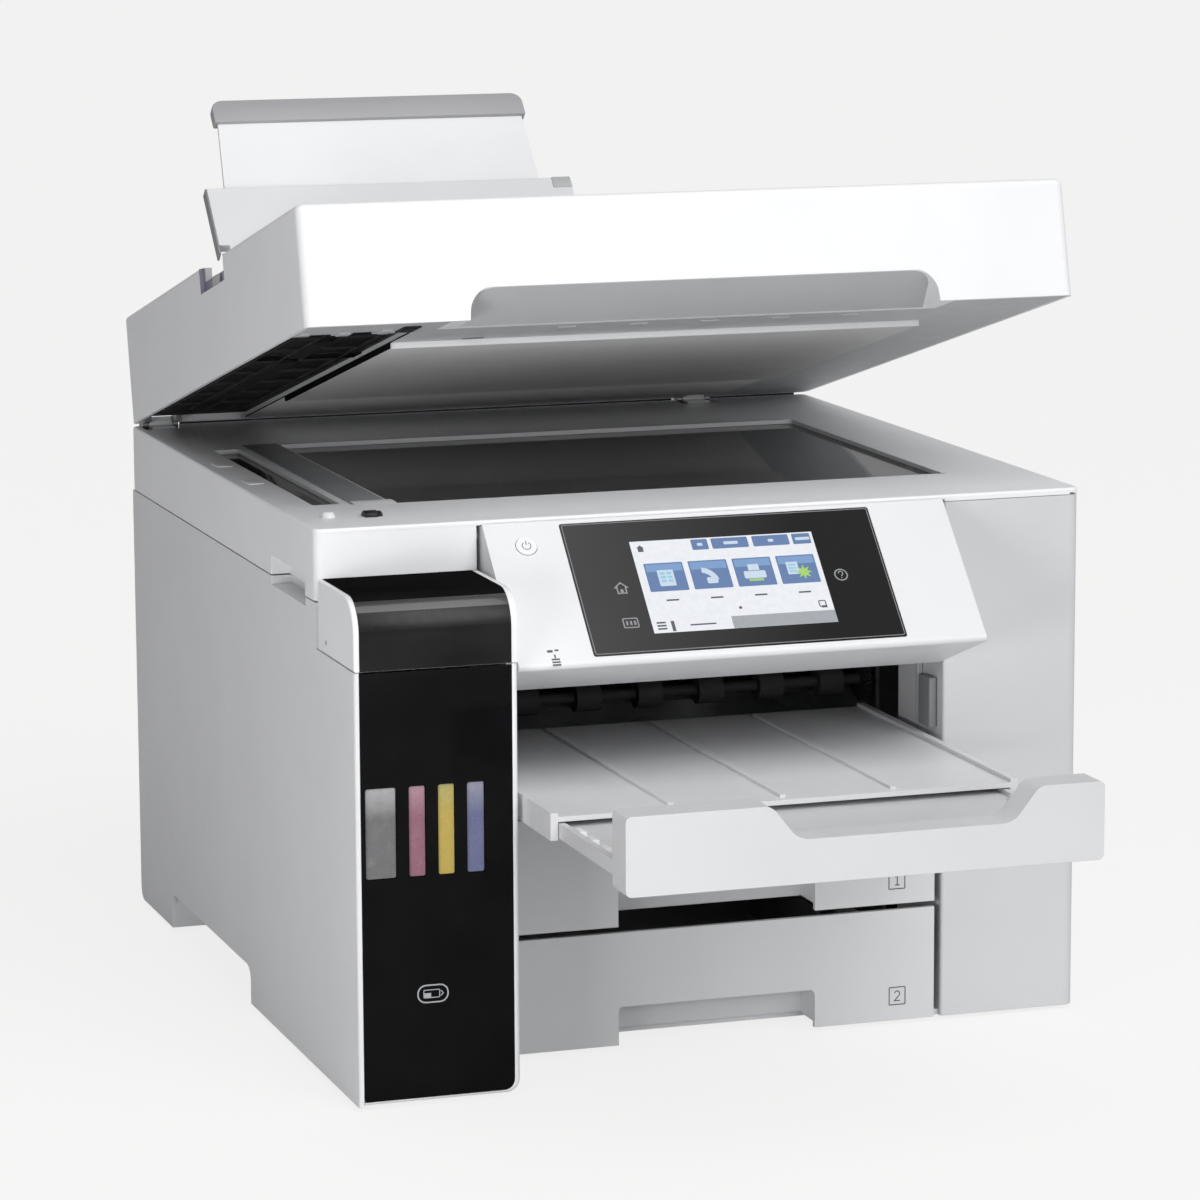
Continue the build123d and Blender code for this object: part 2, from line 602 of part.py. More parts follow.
def lid_shell():
    """The lid's outer shell: a finger scoop in front; the feeder's cover and flap sink into its top."""
    front, back, low = -LID_DEPTH, -1.2, 0.4
    plan = [(-HALF, front), (HALF, front), (HALF, back), (-HALF, back)]
    shell = along_z(plan, low, LID_THICK, {0: 4.5, 1: 4.5, 2: 6, 3: 6})
    shell = fillet(shell.edges().group_by(Axis.Z)[-1], 3)
    cavity = block(-HALF + WALL, HALF - WALL, front + WALL + 0.5, back - WALL, low - 1, LID_THICK - WALL)
    x0, x1 = FEEDER_X
    cavity -= block(x0 - 3.5, x1 + WALL, TROUGH_FRONT - WALL, TROUGH_BACK + WALL, TROUGH_FLOOR - WALL, 70)
    cavity -= block(-205 - WALL, -14 + WALL, TROUGH_BACK, LEAF_BACK + WALL, LEAF_FLOOR - WALL, 70)
    cavity -= block(-134, 145, front, -386, low - 1, 21)
    shell -= cavity
    shell -= block(x0, x1, TROUGH_FRONT, TROUGH_BACK, TROUGH_FLOOR, LID_THICK + 1)
    shell -= block(-HALF - 1, x0 + 1, -254, TROUGH_BACK, TROUGH_FLOOR, LID_THICK + 1)
    shell -= block(-205, -14, TROUGH_BACK - 1, LEAF_BACK, LEAF_FLOOR, LID_THICK + 1)
    shell -= block(x0 + 1.5, x1 - 1.5, -354.5, -262, LEAF_FLOOR, LID_THICK + 1)
    shell -= block(x0 + 8, x1 - 8, TROUGH_FRONT - 3, -242, TROUGH_FLOOR - 4, LEAF_FLOOR + 1)
    shell += flap_ears() + cover_ears()
    scoop = [(front - 1, low - 1), (front - 1, 17.4), (front, 17.4), (-391, low), (-391, low - 1)]
    mouth = [(-125, low - 3), (136, low - 3), (134, 17.8), (-123, 17.8)]
    shell -= along_x(scoop, -131, 142) & along_y(mouth, front - 2, -380, {2: 14, 3: 14})
    for x in (-203, 131):
        shell -= block(x - 5, x + 19, -16, 1, low - 1, 12)
    return shell


def flap_ears():
    """Two ears in the recess for the flap's stubs."""
    y, z = FLAP_PIVOT
    ears = []
    for x in (-208.8, -4.2):
        ear = along_x([(y - 4, z - 12), (y + 4, z - 12), (y + 4, z + 3.6), (y - 4, z + 3.6)],
                      x, x + 2.4, {2: 3, 3: 3})
        ears.append(ear - rod_x(1.5 + RUN, x - 1, x + 3.4, y, z))
    return ears[0] + ears[1]


def cover_ears():
    """Two ears under the opening's front edge for the feeder cover's stubs."""
    y, z = COVER_HINGE
    ears = []
    for x in (-207.6, -5.4):
        ear = block(x, x + 2, y - 4.5, y + 2.2, z - 4.5, z + 2.2)
        ears.append(ear - rod_x(1.5 + RUN, x - 1, x + 3, y, z))
    return ears[0] + ears[1]


def adf_cover():
    """The cover over the feeder's rollers; it opens upward about its front edge."""
    y, z = COVER_HINGE
    cover = block(-207.2, -3.4, -349, -262.6, 60.4, 63.6)
    for x in (-204.6, -9.4):
        cover += along_x([(y - 1.9, z - 1.9), (-340, z - 1.9), (-340, 61), (y - 1.9, 61.4)], x, x + 3.4)
    cover += rod_x(1.5, -207.3, -201.2, y, z) + rod_x(1.5, -9.4, -3.6, y, z)
    for slot in range(5):
        cover -= block(-150, -60, -330 + slot * 9, -327 + slot * 9, 62.8, 65)
    return cover


def adf_feed_roller():
    """The rubber feed roller under the cover."""
    return rod_x(SHAFT_R, -199, -12, *ADF_ROLLER) + rod_x(11, -135, -75, *ADF_ROLLER)


def lid_underside():
    """The lid's bottom plate with bearers for the feed roller and the black scanning bed's opening."""
    plate = rounded_box(-209.6, 209.6, -413.6, -5, 0.4, 3, 6)
    plate -= block(-134.4, 145.4, -420, -385.6, 0, 4)
    plate -= block(-212, BED_RIGHT, -378, 0, 0, 4)
    for x, y in ((-195, -378), (-173, -381.5)):
        plate -= block(x - 6, x + 6, y - 6, y + 6, 0, 4)
    for x in (-202, -15):
        bearer = block(x, x + 3, -283, -267, 3, 42) - rod_x(SHAFT_R + RUN, x - 1, x + 4, *ADF_ROLLER)
        plate += bearer
    for x in (-203, 131):
        plate -= block(x - 5, x + 19, -16, 0, 0, 4)
    return plate + block(-202, BED_RIGHT + 7, -283, -267, 2.9, 6)


def adf_scan_bed():
    """The black plate behind the feeder's scanning slit."""
    bed = block(-209.5, BED_RIGHT + 4, -380, -16.5, 3, 5.4)
    bed += block(-188, -180, -345, -110, 0.8, 3)
    return bed - block(-203, -12, -284, -266, 0, 7)


def document_mat():
    """The foam mat that presses a page onto the flatbed pane."""
    return rounded_box(-146, 154, -338, -112, -2.7, 0.4, 5)


def lid_hinges():
    """Two hinge arms on the lid; stubs turn in the scanner's posts."""
    hinge = None
    for x0 in (-203, 131):
        left_side = (x0 - 3.8, x0 - 0.4, x0 - 0.4, x0 + 5)
        right_side = (x0 + 14.4, x0 + 17.8, x0 + 9, x0 + 14.4)
        for a, b, s0, s1 in (left_side, right_side):
            cheek = rod_x(4.4, a, b, 0, 0) + block(a, b, -14.5, 0, 0, 4.4) + block(a, b, -14.5, -6, 0, 14)
            part = cheek + rod_x(2, s0, s1, 0, 0)
            hinge = part if hinge is None else hinge + part
        hinge += block(x0 - 3.8, x0 + 17.8, -40, -6, 12, 15)
    return hinge


def adf_flap():
    """The support flap's lower leaf with a channel for its extension."""
    flap = block(-212.2, -2.4, -3, 3, 9, 48) + block(-205.6, -4.8, -3, 3, 2, 10)
    flap += rod_x(3.4, -205.6, -4.8, 0, 0)
    flap -= block(-202.8, -18.6, -1.3, 1.3, -0.5, 50)
    return flap + rod_x(1.5, -208.8, -204, 0, 0) + rod_x(1.5, -7, -1.8, 0, 0)


def adf_flap_extension():
    """The pull-out leaf with a thicker rounded end."""
    leaf = along_y([(-202, 36), (-19.6, 36), (-20, 96), (-196, 96)], -1, 1)
    cap = along_y([(-197.5, 95), (-18.5, 95), (-20, 109.3), (-196, 109.3)], -3, 3, {2: 6, 3: 6})
    return leaf + cap


# ---------------------------------------------------------------- output
def export(name, shape):
    export_step(Pos(0, -ORIGIN_Y, 0) * shape, f"parts/{name}.step")


def main():
    os.makedirs("parts", exist_ok=True)
    plain = (base_pan, left_side_cover, right_side_cover, right_front_panel, rear_panel,
             rubber_feet, print_frame, platen, carriage_rail, carriage_belt, carriage_motor, circuit_board,
             power_supply, power_inlet, rear_ports, print_head, feed_roller, exit_roller, star_wheels,
             rear_access_cover, maintenance_box, ink_tank_housing, ink_tank_front, tank_cover,
             control_panel, panel_glass, power_button, tray_main, tray_front, scanner_case, scanner_top,
             scanner_glass, scan_guide_rod, scan_carriage)
    for build in plain:
        export(build.__name__, build())
    export("print_carriage", head_seat(print_carriage()))
    for color in TANKS:
        export(f"ink_tank_{color}", ink_tank(color))
        export(f"tank_cap_{color}", tank_cap(color))
    for number, level in ((1, CASSETTE_STEP), (2, 0.0)):
        export(f"cassette_{number}", cassette(level))
        export(f"cassette_{number}_left_guide", cassette_guide(level, -1))
        export(f"cassette_{number}_right_guide", cassette_guide(level, 1))
        export(f"pickup_roller_{number}", pickup_roller(level))
    for build in (lid_shell, lid_underside, document_mat, adf_scan_bed, lid_hinges, adf_cover,
                  adf_feed_roller):
        export(build.__name__, lid_place() * build())
    for build in (adf_flap, adf_flap_extension):
        export(build.__name__, flap_place() * build())


main()
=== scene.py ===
import bmesh
import bpy
import json
import math
from mathutils import Matrix, Vector


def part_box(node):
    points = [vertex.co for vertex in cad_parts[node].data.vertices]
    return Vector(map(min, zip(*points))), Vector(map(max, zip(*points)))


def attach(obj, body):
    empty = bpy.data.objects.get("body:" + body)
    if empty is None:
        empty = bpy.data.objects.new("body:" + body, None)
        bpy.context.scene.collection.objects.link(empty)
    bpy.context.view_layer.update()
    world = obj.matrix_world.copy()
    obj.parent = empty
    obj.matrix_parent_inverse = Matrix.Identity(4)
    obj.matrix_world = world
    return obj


# An office inkjet printer with ink tanks, flatbed scanner, feeder lid, two cassettes and an output tray.
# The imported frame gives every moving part; this script adds its finishes, printed marks, the screen's
# picture, trim, screws, contacts and pads, a studio floor, light and the camera.
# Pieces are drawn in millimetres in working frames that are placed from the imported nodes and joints.

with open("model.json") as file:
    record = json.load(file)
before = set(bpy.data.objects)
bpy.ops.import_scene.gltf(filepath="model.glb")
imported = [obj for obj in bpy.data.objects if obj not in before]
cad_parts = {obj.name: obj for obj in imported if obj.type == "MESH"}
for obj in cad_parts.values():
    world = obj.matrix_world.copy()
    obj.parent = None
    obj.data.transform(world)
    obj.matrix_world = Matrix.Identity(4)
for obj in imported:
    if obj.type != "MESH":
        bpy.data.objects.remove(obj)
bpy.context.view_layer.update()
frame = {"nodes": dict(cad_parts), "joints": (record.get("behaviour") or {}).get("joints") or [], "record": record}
MM = 0.001
RECORD = frame["record"]
JOINTS = {joint["name"]: joint for joint in frame["joints"]}
NODES = frame["nodes"]


# ---------------------------------------------------------------- materials
def node_material(name):
    material = bpy.data.materials.new(name)
    material.use_nodes = True
    tree = material.node_tree
    return material, tree, tree.nodes["Principled BSDF"]


def link(tree, source, target):
    tree.links.new(source, target)


def noise(tree, scale, detail=3.0, stretch=(1, 1, 1), roughness=0.5):
    """A noise texture in object space, in metres; its Fac output."""
    coordinate = tree.nodes.new("ShaderNodeTexCoord")
    mapping = tree.nodes.new("ShaderNodeMapping")
    mapping.inputs["Scale"].default_value = stretch
    texture = tree.nodes.new("ShaderNodeTexNoise")
    texture.inputs["Scale"].default_value = scale
    texture.inputs["Detail"].default_value = detail
    texture.inputs["Roughness"].default_value = roughness
    link(tree, coordinate.outputs["Object"], mapping.inputs["Vector"])
    link(tree, mapping.outputs["Vector"], texture.inputs["Vector"])
    return texture.outputs["Fac"]


def remap(tree, value, low, high, start=0.3, end=0.7):
    node = tree.nodes.new("ShaderNodeMapRange")
    node.inputs["From Min"].default_value = start
    node.inputs["From Max"].default_value = end
    node.inputs["To Min"].default_value = low
    node.inputs["To Max"].default_value = high
    link(tree, value, node.inputs["Value"])
    return node.outputs["Result"]


def blend_colors(tree, value, first, second):
    ramp = tree.nodes.new("ShaderNodeValToRGB")
    ramp.color_ramp.elements[0].position = 0.3
    ramp.color_ramp.elements[1].position = 0.7
    ramp.color_ramp.elements[0].color = (*first, 1)
    ramp.color_ramp.elements[1].color = (*second, 1)
    link(tree, value, ramp.inputs["Fac"])
    return ramp.outputs["Color"]


def bump(tree, height, depth, strength=1.0, below=None):
    node = tree.nodes.new("ShaderNodeBump")
    node.inputs["Strength"].default_value = strength
    node.inputs["Distance"].default_value = depth
    link(tree, height, node.inputs["Height"])
    if below is not None:
        link(tree, below, node.inputs["Normal"])
    return node.outputs["Normal"]


def shade(color, factor):
    return tuple(min(1.0, channel * factor) for channel in color)


def surface(name, color, rough, tone=0.02, spread=0.06, patch=14.0, grain=1500.0, depth=0.00002,
            stretch=(1, 1, 1), edge=0.0, sockets=None):
    """A finish with slow colour drift, uneven gloss and a fine grain that catches the light."""
    material, tree, shader = node_material(name)
    drift = noise(tree, patch, 4.0, stretch)
    colors = blend_colors(tree, drift, shade(color, 1 - tone), shade(color, 1 + tone))
    link(tree, colors, shader.inputs["Base Color"])
    link(tree, remap(tree, noise(tree, patch * 6, 5.0, stretch), rough - spread, rough + spread),
         shader.inputs["Roughness"])
    below = None
    if edge:
        round_edge = tree.nodes.new("ShaderNodeBevel")
        round_edge.samples = 4
        round_edge.inputs["Radius"].default_value = edge
        below = round_edge.outputs["Normal"]
    link(tree, bump(tree, noise(tree, grain, 2.0, stretch), depth, below=below), shader.inputs["Normal"])
    for socket, value in (sockets or {}).items():
        shader.inputs[socket].default_value = value
    return material


def level_window(name, low_color, high_color, z_low, z_high):
    """A translucent blown wall: ink behind it up to a level, paler above."""
    material, tree, shader = node_material(name)
    coordinate = tree.nodes.new("ShaderNodeTexCoord")
    split = tree.nodes.new("ShaderNodeSeparateXYZ")
    link(tree, coordinate.outputs["Object"], split.inputs["Vector"])
    height = remap(tree, split.outputs["Z"], 0.3, 0.7, z_low, z_high)
    waver = tree.nodes.new("ShaderNodeMath")
    waver.operation = "ADD"
    link(tree, height, waver.inputs[0])
    link(tree, remap(tree, noise(tree, 160, 3.0), -0.04, 0.04), waver.inputs[1])
    link(tree, blend_colors(tree, waver.outputs["Value"], low_color, high_color), shader.inputs["Base Color"])
    link(tree, remap(tree, noise(tree, 240, 3.0), 0.2, 0.34), shader.inputs["Roughness"])
    link(tree, bump(tree, noise(tree, 420, 2.0), 0.00004), shader.inputs["Normal"])
    shader.inputs["Coat Weight"].default_value = 0.25
    shader.inputs["Subsurface Weight"].default_value = 0.15
    shader.inputs["Subsurface Scale"].default_value = 0.002
    return material


def foam(name, color):
    """Fine closed-cell foam."""
    material, tree, shader = node_material(name)
    coordinate = tree.nodes.new("ShaderNodeTexCoord")
    cells = tree.nodes.new("ShaderNodeTexVoronoi")
    cells.inputs["Scale"].default_value = 700
    link(tree, coordinate.outputs["Object"], cells.inputs["Vector"])
    tint = blend_colors(tree, noise(tree, 30, 4.0), shade(color, 0.95), color)
    link(tree, tint, shader.inputs["Base Color"])
    link(tree, remap(tree, noise(tree, 90, 3.0), 0.8, 0.95), shader.inputs["Roughness"])
    link(tree, bump(tree, cells.outputs["Distance"], 0.00012), shader.inputs["Normal"])
    return material


def lit(name, color, strength, patch=300.0):
    """A part of the lit display, whose pixels shine through the glass."""
    material, tree, shader = node_material(name)
    tint = blend_colors(tree, noise(tree, patch, 2.0), shade(color, 0.95), color)
    link(tree, blend_colors(tree, noise(tree, patch, 2.0), shade(color, 0.1), shade(color, 0.12)),
         shader.inputs["Base Color"])
    link(tree, tint, shader.inputs["Emission Color"])
    link(tree, remap(tree, noise(tree, patch * 3, 2.0), 0.16, 0.26), shader.inputs["Roughness"])
    shader.inputs["Emission Strength"].default_value = strength
    return material


def board_finish(name):
    """Solder mask with lighter tracks."""
    material, tree, shader = node_material(name)
    coordinate = tree.nodes.new("ShaderNodeTexCoord")
    bricks = tree.nodes.new("ShaderNodeTexBrick")
    bricks.inputs["Scale"].default_value = 90
    bricks.inputs["Color1"].default_value = (0.012, 0.09, 0.035, 1)
    bricks.inputs["Color2"].default_value = (0.02, 0.14, 0.055, 1)
    bricks.inputs["Mortar"].default_value = (0.05, 0.22, 0.1, 1)
    link(tree, coordinate.outputs["Object"], bricks.inputs["Vector"])
    link(tree, bricks.outputs["Color"], shader.inputs["Base Color"])
    link(tree, remap(tree, noise(tree, 200, 3.0), 0.3, 0.45), shader.inputs["Roughness"])
    link(tree, bump(tree, bricks.outputs["Fac"], 0.00005), shader.inputs["Normal"])
    return material


def glass_with_painted_reflection(name, left, right):
    """Black glass whose base colour is lighter at one side and fades out across it: a painted reflection."""
    material, tree, shader = node_material(name)
    coordinate = tree.nodes.new("ShaderNodeTexCoord")
    split = tree.nodes.new("ShaderNodeSeparateXYZ")
    link(tree, coordinate.outputs["Generated"], split.inputs["Vector"])
    # The base colour is lighter towards the glass's left: painted reflection.
    reflection_fade = remap(tree, split.outputs["X"], 0.3, 0.7, 0.0, 0.75)
    link(tree, blend_colors(tree, reflection_fade, (left, left, left * 1.03), (right, right, right * 1.03)),
         shader.inputs["Base Color"])
    link(tree, remap(tree, noise(tree, 60, 3.0), 0.06, 0.12), shader.inputs["Roughness"])
    link(tree, bump(tree, noise(tree, 60, 2.0), 0.000004), shader.inputs["Normal"])
    shader.inputs["Specular IOR Level"].default_value = 0.12
    return material


EDGE = 0.0004                   # how far, in metres, the moulded parts' edges look rounded
GLOSS = {"tone": 0.2, "patch": 30, "grain": 60, "depth": 0.000006}
MATT_SPECULAR = {"Specular IOR Level": 0.3}
DEEP_BLACK = {"Specular IOR Level": 0.1}
FINISHES = {
    "white_shell": surface("white_moulded", (0.87, 0.875, 0.885), 0.42, edge=EDGE),
    "body_shell": surface("body_moulded", (0.78, 0.785, 0.795), 0.44, edge=EDGE),
    "cassette_plastic": surface("cassette_moulded", (0.68, 0.685, 0.695), 0.46, edge=EDGE),
    "guide_plastic": surface("guide_moulded", (0.3, 0.305, 0.315), 0.4),
    "dark_plastic": surface("dark_moulded", (0.016, 0.016, 0.018), 0.42, tone=0.2, sockets=MATT_SPECULAR),
    "gloss_black": surface("piano_black", (0.0045, 0.0045, 0.005), 0.09, tone=0.3, spread=0.03, patch=30,
                           grain=60, depth=0.000006, sockets=DEEP_BLACK),
    "lid_liner": surface("liner_moulded", (0.52, 0.53, 0.54), 0.45),
    "foam_white": foam("mat_foam", (0.72, 0.72, 0.72)),
    "steel_sheet": surface("galvanised_steel", (0.5, 0.51, 0.52), 0.34, tone=0.12, spread=0.1, patch=60,
                           grain=900, stretch=(1, 12, 12), sockets={"Metallic": 1.0}),
    "roller_rubber": surface("roller_rubber", (0.03, 0.03, 0.032), 0.7, tone=0.15, grain=2600,
                             depth=0.00004),
    "star_wheel_plastic": surface("wheel_plastic", (0.03, 0.03, 0.033), 0.35, tone=0.15),
    "pane_glass": surface("pane_glass", (0.04, 0.04, 0.042), 0.06, tone=0.3, spread=0.02, patch=20,
                          grain=40, depth=0.000004, sockets={"Alpha": 0.88}),
    "head_metal": surface("head_enamel", (0.05, 0.055, 0.06), 0.35, tone=0.15),
    "board_green": board_finish("solder_mask"),
    "supply_case": surface("supply_plastic", (0.03, 0.03, 0.033), 0.5, tone=0.15),
    "button_white": surface("button_plastic", (0.84, 0.845, 0.85), 0.25),
}
INKS = {
    "black": ((0.15, 0.15, 0.152), (0.42, 0.42, 0.425)),
    "magenta": ((0.27, 0.12, 0.165), (0.4, 0.24, 0.28)),
    "yellow": ((0.48, 0.36, 0.08), (0.42, 0.38, 0.14)),
    "cyan": ((0.13, 0.145, 0.27), (0.3, 0.3, 0.37)),
}
WINDOW_LOW, WINDOW_HIGH = 0.1497, 0.1665
for ink, (low, high) in INKS.items():
    FINISHES["tank_" + ink] = level_window("tank_wall_" + ink, low, high, WINDOW_LOW, WINDOW_HIGH)
    FINISHES["cap_" + ink] = surface("cap_" + ink, low, 0.4, tone=0.08)
OWN_FINISHES = {
    "control_panel": surface("panel_moulded", (0.79, 0.795, 0.805), 0.42, edge=EDGE),
    "adf_flap": surface("flap_moulded", (0.72, 0.725, 0.735), 0.42, edge=EDGE),
    "adf_flap_extension": surface("extension_moulded", (0.84, 0.845, 0.855), 0.42, edge=EDGE),
    "adf_scan_bed": surface("bed_black", (0.006, 0.006, 0.0065), 0.5, tone=0.2, sockets=MATT_SPECULAR),
    "right_front_panel": surface("front_moulded", (0.65, 0.655, 0.665), 0.44, edge=EDGE),
    "tray_front": surface("tray_moulded", (0.69, 0.695, 0.705), 0.44, edge=EDGE),
    # The panel glass carries a painted reflection in its base colour, lighter at the left.
    "panel_glass": glass_with_painted_reflection("panel_glass_black", 0.05, 0.003),
}
for subpart in RECORD["subparts"]:
    target = NODES[subpart["node"]]
    target.data.materials.clear()
    target.data.materials.append(OWN_FINISHES.get(subpart["node"]) or FINISHES[subpart["material_slot"]])

PRINT_DARK = surface("print_dark", (0.09, 0.09, 0.1), 0.5, tone=0.1)
PRINT_LIGHT = surface("print_light", (0.42, 0.43, 0.45), 0.45, tone=0.08)
PRINT_FAINT = surface("print_faint", (0.2, 0.2, 0.21), 0.4, tone=0.1)
# Copies of the cover skin's black, one per facing: the band's copy is made much glossier as a painted highlight,
# the top's has no gloss.
SKIN_HIGHLIGHT_BAND = surface("skin_painted_highlight", (0.006, 0.006, 0.0065), 0.24, spread=0.04,
                     sockets={"Specular IOR Level": 1.0, "Coat Weight": 0.6}, **GLOSS)
SKIN_FACE = surface("skin_face", (0.016, 0.016, 0.0165), 0.12, sockets=DEEP_BLACK, **GLOSS)
SKIN_SHOULDER = surface("skin_shoulder", (0.01, 0.01, 0.0105), 0.3, sockets={"Specular IOR Level": 0.35},
                        **GLOSS)
SKIN_TOP = surface("skin_top", (0.008, 0.008, 0.0085), 0.3, sockets={"Specular IOR Level": 0.0}, **GLOSS)
TRIM_GREY = surface("trim_grey", (0.26, 0.265, 0.275), 0.42, tone=0.05)
TRIM_LIGHT = surface("trim_light", (0.46, 0.465, 0.475), 0.42, tone=0.04)
CAP_GREY = surface("cap_moulded", (0.36, 0.36, 0.37), 0.42, tone=0.03)
# A grey for the finger scoop in the lid's front edge: painted shade for the recess.
SCOOP_SHADE_GREY = surface("scoop_painted_shade", (0.43, 0.435, 0.445), 0.42, tone=0.03)
TRIM_LILAC = surface("trim_lilac", (0.3, 0.29, 0.36), 0.4, tone=0.06)
BRIGHT_METAL = surface("contact_metal", (0.72, 0.6, 0.34), 0.25, tone=0.1, sockets={"Metallic": 1.0})
SCREW_METAL = surface("screw_metal", (0.36, 0.36, 0.37), 0.3, tone=0.15, sockets={"Metallic": 1.0})
SCREEN_COLORS = {
    "white": (0.78, 0.8, 0.84), "bar": (0.33, 0.35, 0.38), "tile": (0.085, 0.17, 0.37),
    "tile_light": (0.16, 0.3, 0.55), "ink": (0.06, 0.07, 0.1), "pale": (0.55, 0.66, 0.78),
    "sky": (0.25, 0.55, 0.72), "green": (0.34, 0.6, 0.12),
}
SCREEN = {name: lit("screen_" + name, color, 0.9) for name, color in SCREEN_COLORS.items()}


# ---------------------------------------------------------------- working frames and drawing helpers
def flat_frame(origin, right, up):
    """A working frame in millimetres: x along right, y along up, z out of the face."""
    right, up = Vector(right).normalized(), Vector(up).normalized()
    turn = Matrix((right, up, right.cross(up))).transposed().to_4x4()
    return Matrix.Translation(origin) @ turn @ Matrix.Scale(MM, 4)


def hinge_frame(joint, angle):
    """A frame on a hinge along X, turned back by an angle in radians, in millimetres."""
    turn = Matrix.Rotation(-angle, 4, "X")
    return Matrix.Translation(JOINTS[joint]["pos_m"]) @ turn @ Matrix.Scale(MM, 4)


LEFT_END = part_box("left_side_cover")[0].x
MAIN_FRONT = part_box("right_front_panel")[0].y
PULL = Vector(JOINTS["adf_flap_pull"]["axis"])
PRESS = Vector(JOINTS["power_button_press"]["axis"])
LID_OPEN = math.radians(14.1)
FACE_RIGHT, FACE_UP = (1, 0, 0), (0, 0, 1)

BODY = Matrix.Translation((0, MAIN_FRONT, 0)) @ Matrix.Scale(MM, 4)
LID = hinge_frame("lid_hinge", LID_OPEN)
FLAP = hinge_frame("adf_flap_hinge", math.atan2(PULL.y, PULL.z))
FRONT = flat_frame((0, MAIN_FRONT, 0), FACE_RIGHT, FACE_UP)
TANK_FACE = flat_frame((0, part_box("ink_tank_front")[0].y, 0), FACE_RIGHT, FACE_UP)
REAR = flat_frame((0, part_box("rear_panel")[1].y, 0), (-1, 0, 0), FACE_UP)
LEFT = flat_frame((LEFT_END, MAIN_FRONT, 0), (0, -1, 0), FACE_UP)
SECTION = flat_frame((0, MAIN_FRONT, 0), (0, 1, 0), FACE_UP)
UNDER = flat_frame((0, MAIN_FRONT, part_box("base_pan")[0].z), (1, 0, 0), (0, -1, 0))

glass_low, glass_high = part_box("panel_glass")
GLASS_THICK = 2.1
SLOPE_UP = Vector((1, 0, 0)).cross(PRESS)
PANEL = flat_frame((glass_low + glass_high) / 2 - PRESS * GLASS_THICK / 2 * MM, FACE_RIGHT, SLOPE_UP)


def arc(cx, cy, radius, start, end, steps=8):
    """Points along a circle between two angles in degrees."""
    angles = [math.radians(start + (end - start) * i / steps) for i in range(steps + 1)]
    return [(cx + radius * math.cos(angle), cy + radius * math.sin(angle)) for angle in angles]


def circle(cx, cy, radius, steps=24):
    return arc(cx, cy, radius, 0, 360, steps)[:-1]


def box_outline(x0, x1, y0, y1):
    return [(x0, y0), (x1, y0), (x1, y1), (x0, y1)]


def rounded(x0, x1, y0, y1, radius):
    """A rectangle's outline with round corners."""
    corners = ((x1, y1, -1, -1, 0), (x0, y1, 1, -1, 90), (x0, y0, 1, 1, 180), (x1, y0, -1, 1, 270))
    points = []
    for x, y, dx, dy, start in corners:
        points += arc(x + dx * radius, y + dy * radius, radius, start, start + 90, 5)
    return points


def prism(shape, place, outline, low, high):
    """Extrude an outline of (x, y) points from low to high."""
    bottom = [shape.verts.new(place @ Vector((x, y, low))) for x, y in outline]
    top = [shape.verts.new(place @ Vector((x, y, high))) for x, y in outline]
    shape.faces.new(reversed(bottom))
    shape.faces.new(top)
    for i in range(len(outline)):
        j = (i + 1) % len(outline)
        shape.faces.new((bottom[i], bottom[j], top[j], top[i]))


def offset(points, distance, closed):
    """The points moved sideways by a distance, with mitred corners."""
    moved = []
    last = len(points) - 1
    for i, point in enumerate(points):
        here = Vector(point)
        ways = []
        if closed or i > 0:
            ways.append((here - Vector(points[i - 1])).normalized())
        if closed or i < last:
            ways.append((Vector(points[(i + 1) % len(points)]) - here).normalized())
        side = sum((Vector((-way.y, way.x)) for way in ways), Vector((0, 0))).normalized()
        reach = distance / max(0.4, side.dot(Vector((-ways[0].y, ways[0].x))))
        moved.append(tuple(here + side * reach))
    return moved


def ring_between(shape, place, outside, inside, low, high):
    """A flat ring between two closed outlines with the same number of points."""
    rings = []
    for outline in (outside, inside):
        for z in (low, high):
            rings.append([shape.verts.new(place @ Vector((x, y, z))) for x, y in outline])
    order = (rings[0], rings[1], rings[3], rings[2])
    for k in range(4):
        first, second = order[k], order[(k + 1) % 4]
        for i in range(len(outside)):
            j = (i + 1) % len(outside)
            shape.faces.new((first[i], first[j], second[j], second[i]))


def loop_band(shape, place, points, width, low, high):
    """A closed flat band of even width."""
    ring_between(shape, place, offset(points, width / 2, True), offset(points, -width / 2, True), low, high)


def stroke(shape, place, points, width, low, high):
    """An open flat line of even width."""
    outline = offset(points, width / 2, False) + offset(points, -width / 2, False)[::-1]
    prism(shape, place, outline, low, high)


def turned(shape, place, profile, steps=24):
    """Turn a profile of (radius, height) points about the frame's z; its ends lie on the axis."""
    rings = []
    for radius, height in profile:
        if radius == 0:
            rings.append([shape.verts.new(place @ Vector((0, 0, height)))] * steps)
        else:
            round_points = circle(0, 0, radius, steps)
            rings.append([shape.verts.new(place @ Vector((x, y, height))) for x, y in round_points])
    for first, second in zip(rings, rings[1:]):
        for i in range(steps):
            j = (i + 1) % steps
            corners = dict.fromkeys((first[i], first[j], second[j], second[i]))
            shape.faces.new(list(corners))


def piece(name, body, finish, shape, soften=0.0, sharp=35):
    """Make the drawn shape an object with its finish that rides on a body; soften rounds its edges, in mm."""
    bmesh.ops.recalc_face_normals(shape, faces=shape.faces)
    if soften:
        edges = [edge for edge in shape.edges if edge.calc_face_angle(0) > math.radians(sharp)]
        bmesh.ops.bevel(shape, geom=edges, offset=soften * MM, segments=2, profile=0.5, affect="EDGES",
                        clamp_overlap=True)
    mesh = bpy.data.meshes.new(name)
    shape.to_mesh(mesh)
    shape.free()
    mesh.materials.append(finish)
    mesh.shade_smooth()
    mesh.set_sharp_from_angle(angle=math.radians(sharp))
    thing = bpy.data.objects.new(name, mesh)
    bpy.context.scene.collection.objects.link(thing)
    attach(thing, body)
    return thing


def shifted(place, x=0.0, y=0.0, z=0.0):
    return place @ Matrix.Translation((x, y, z))


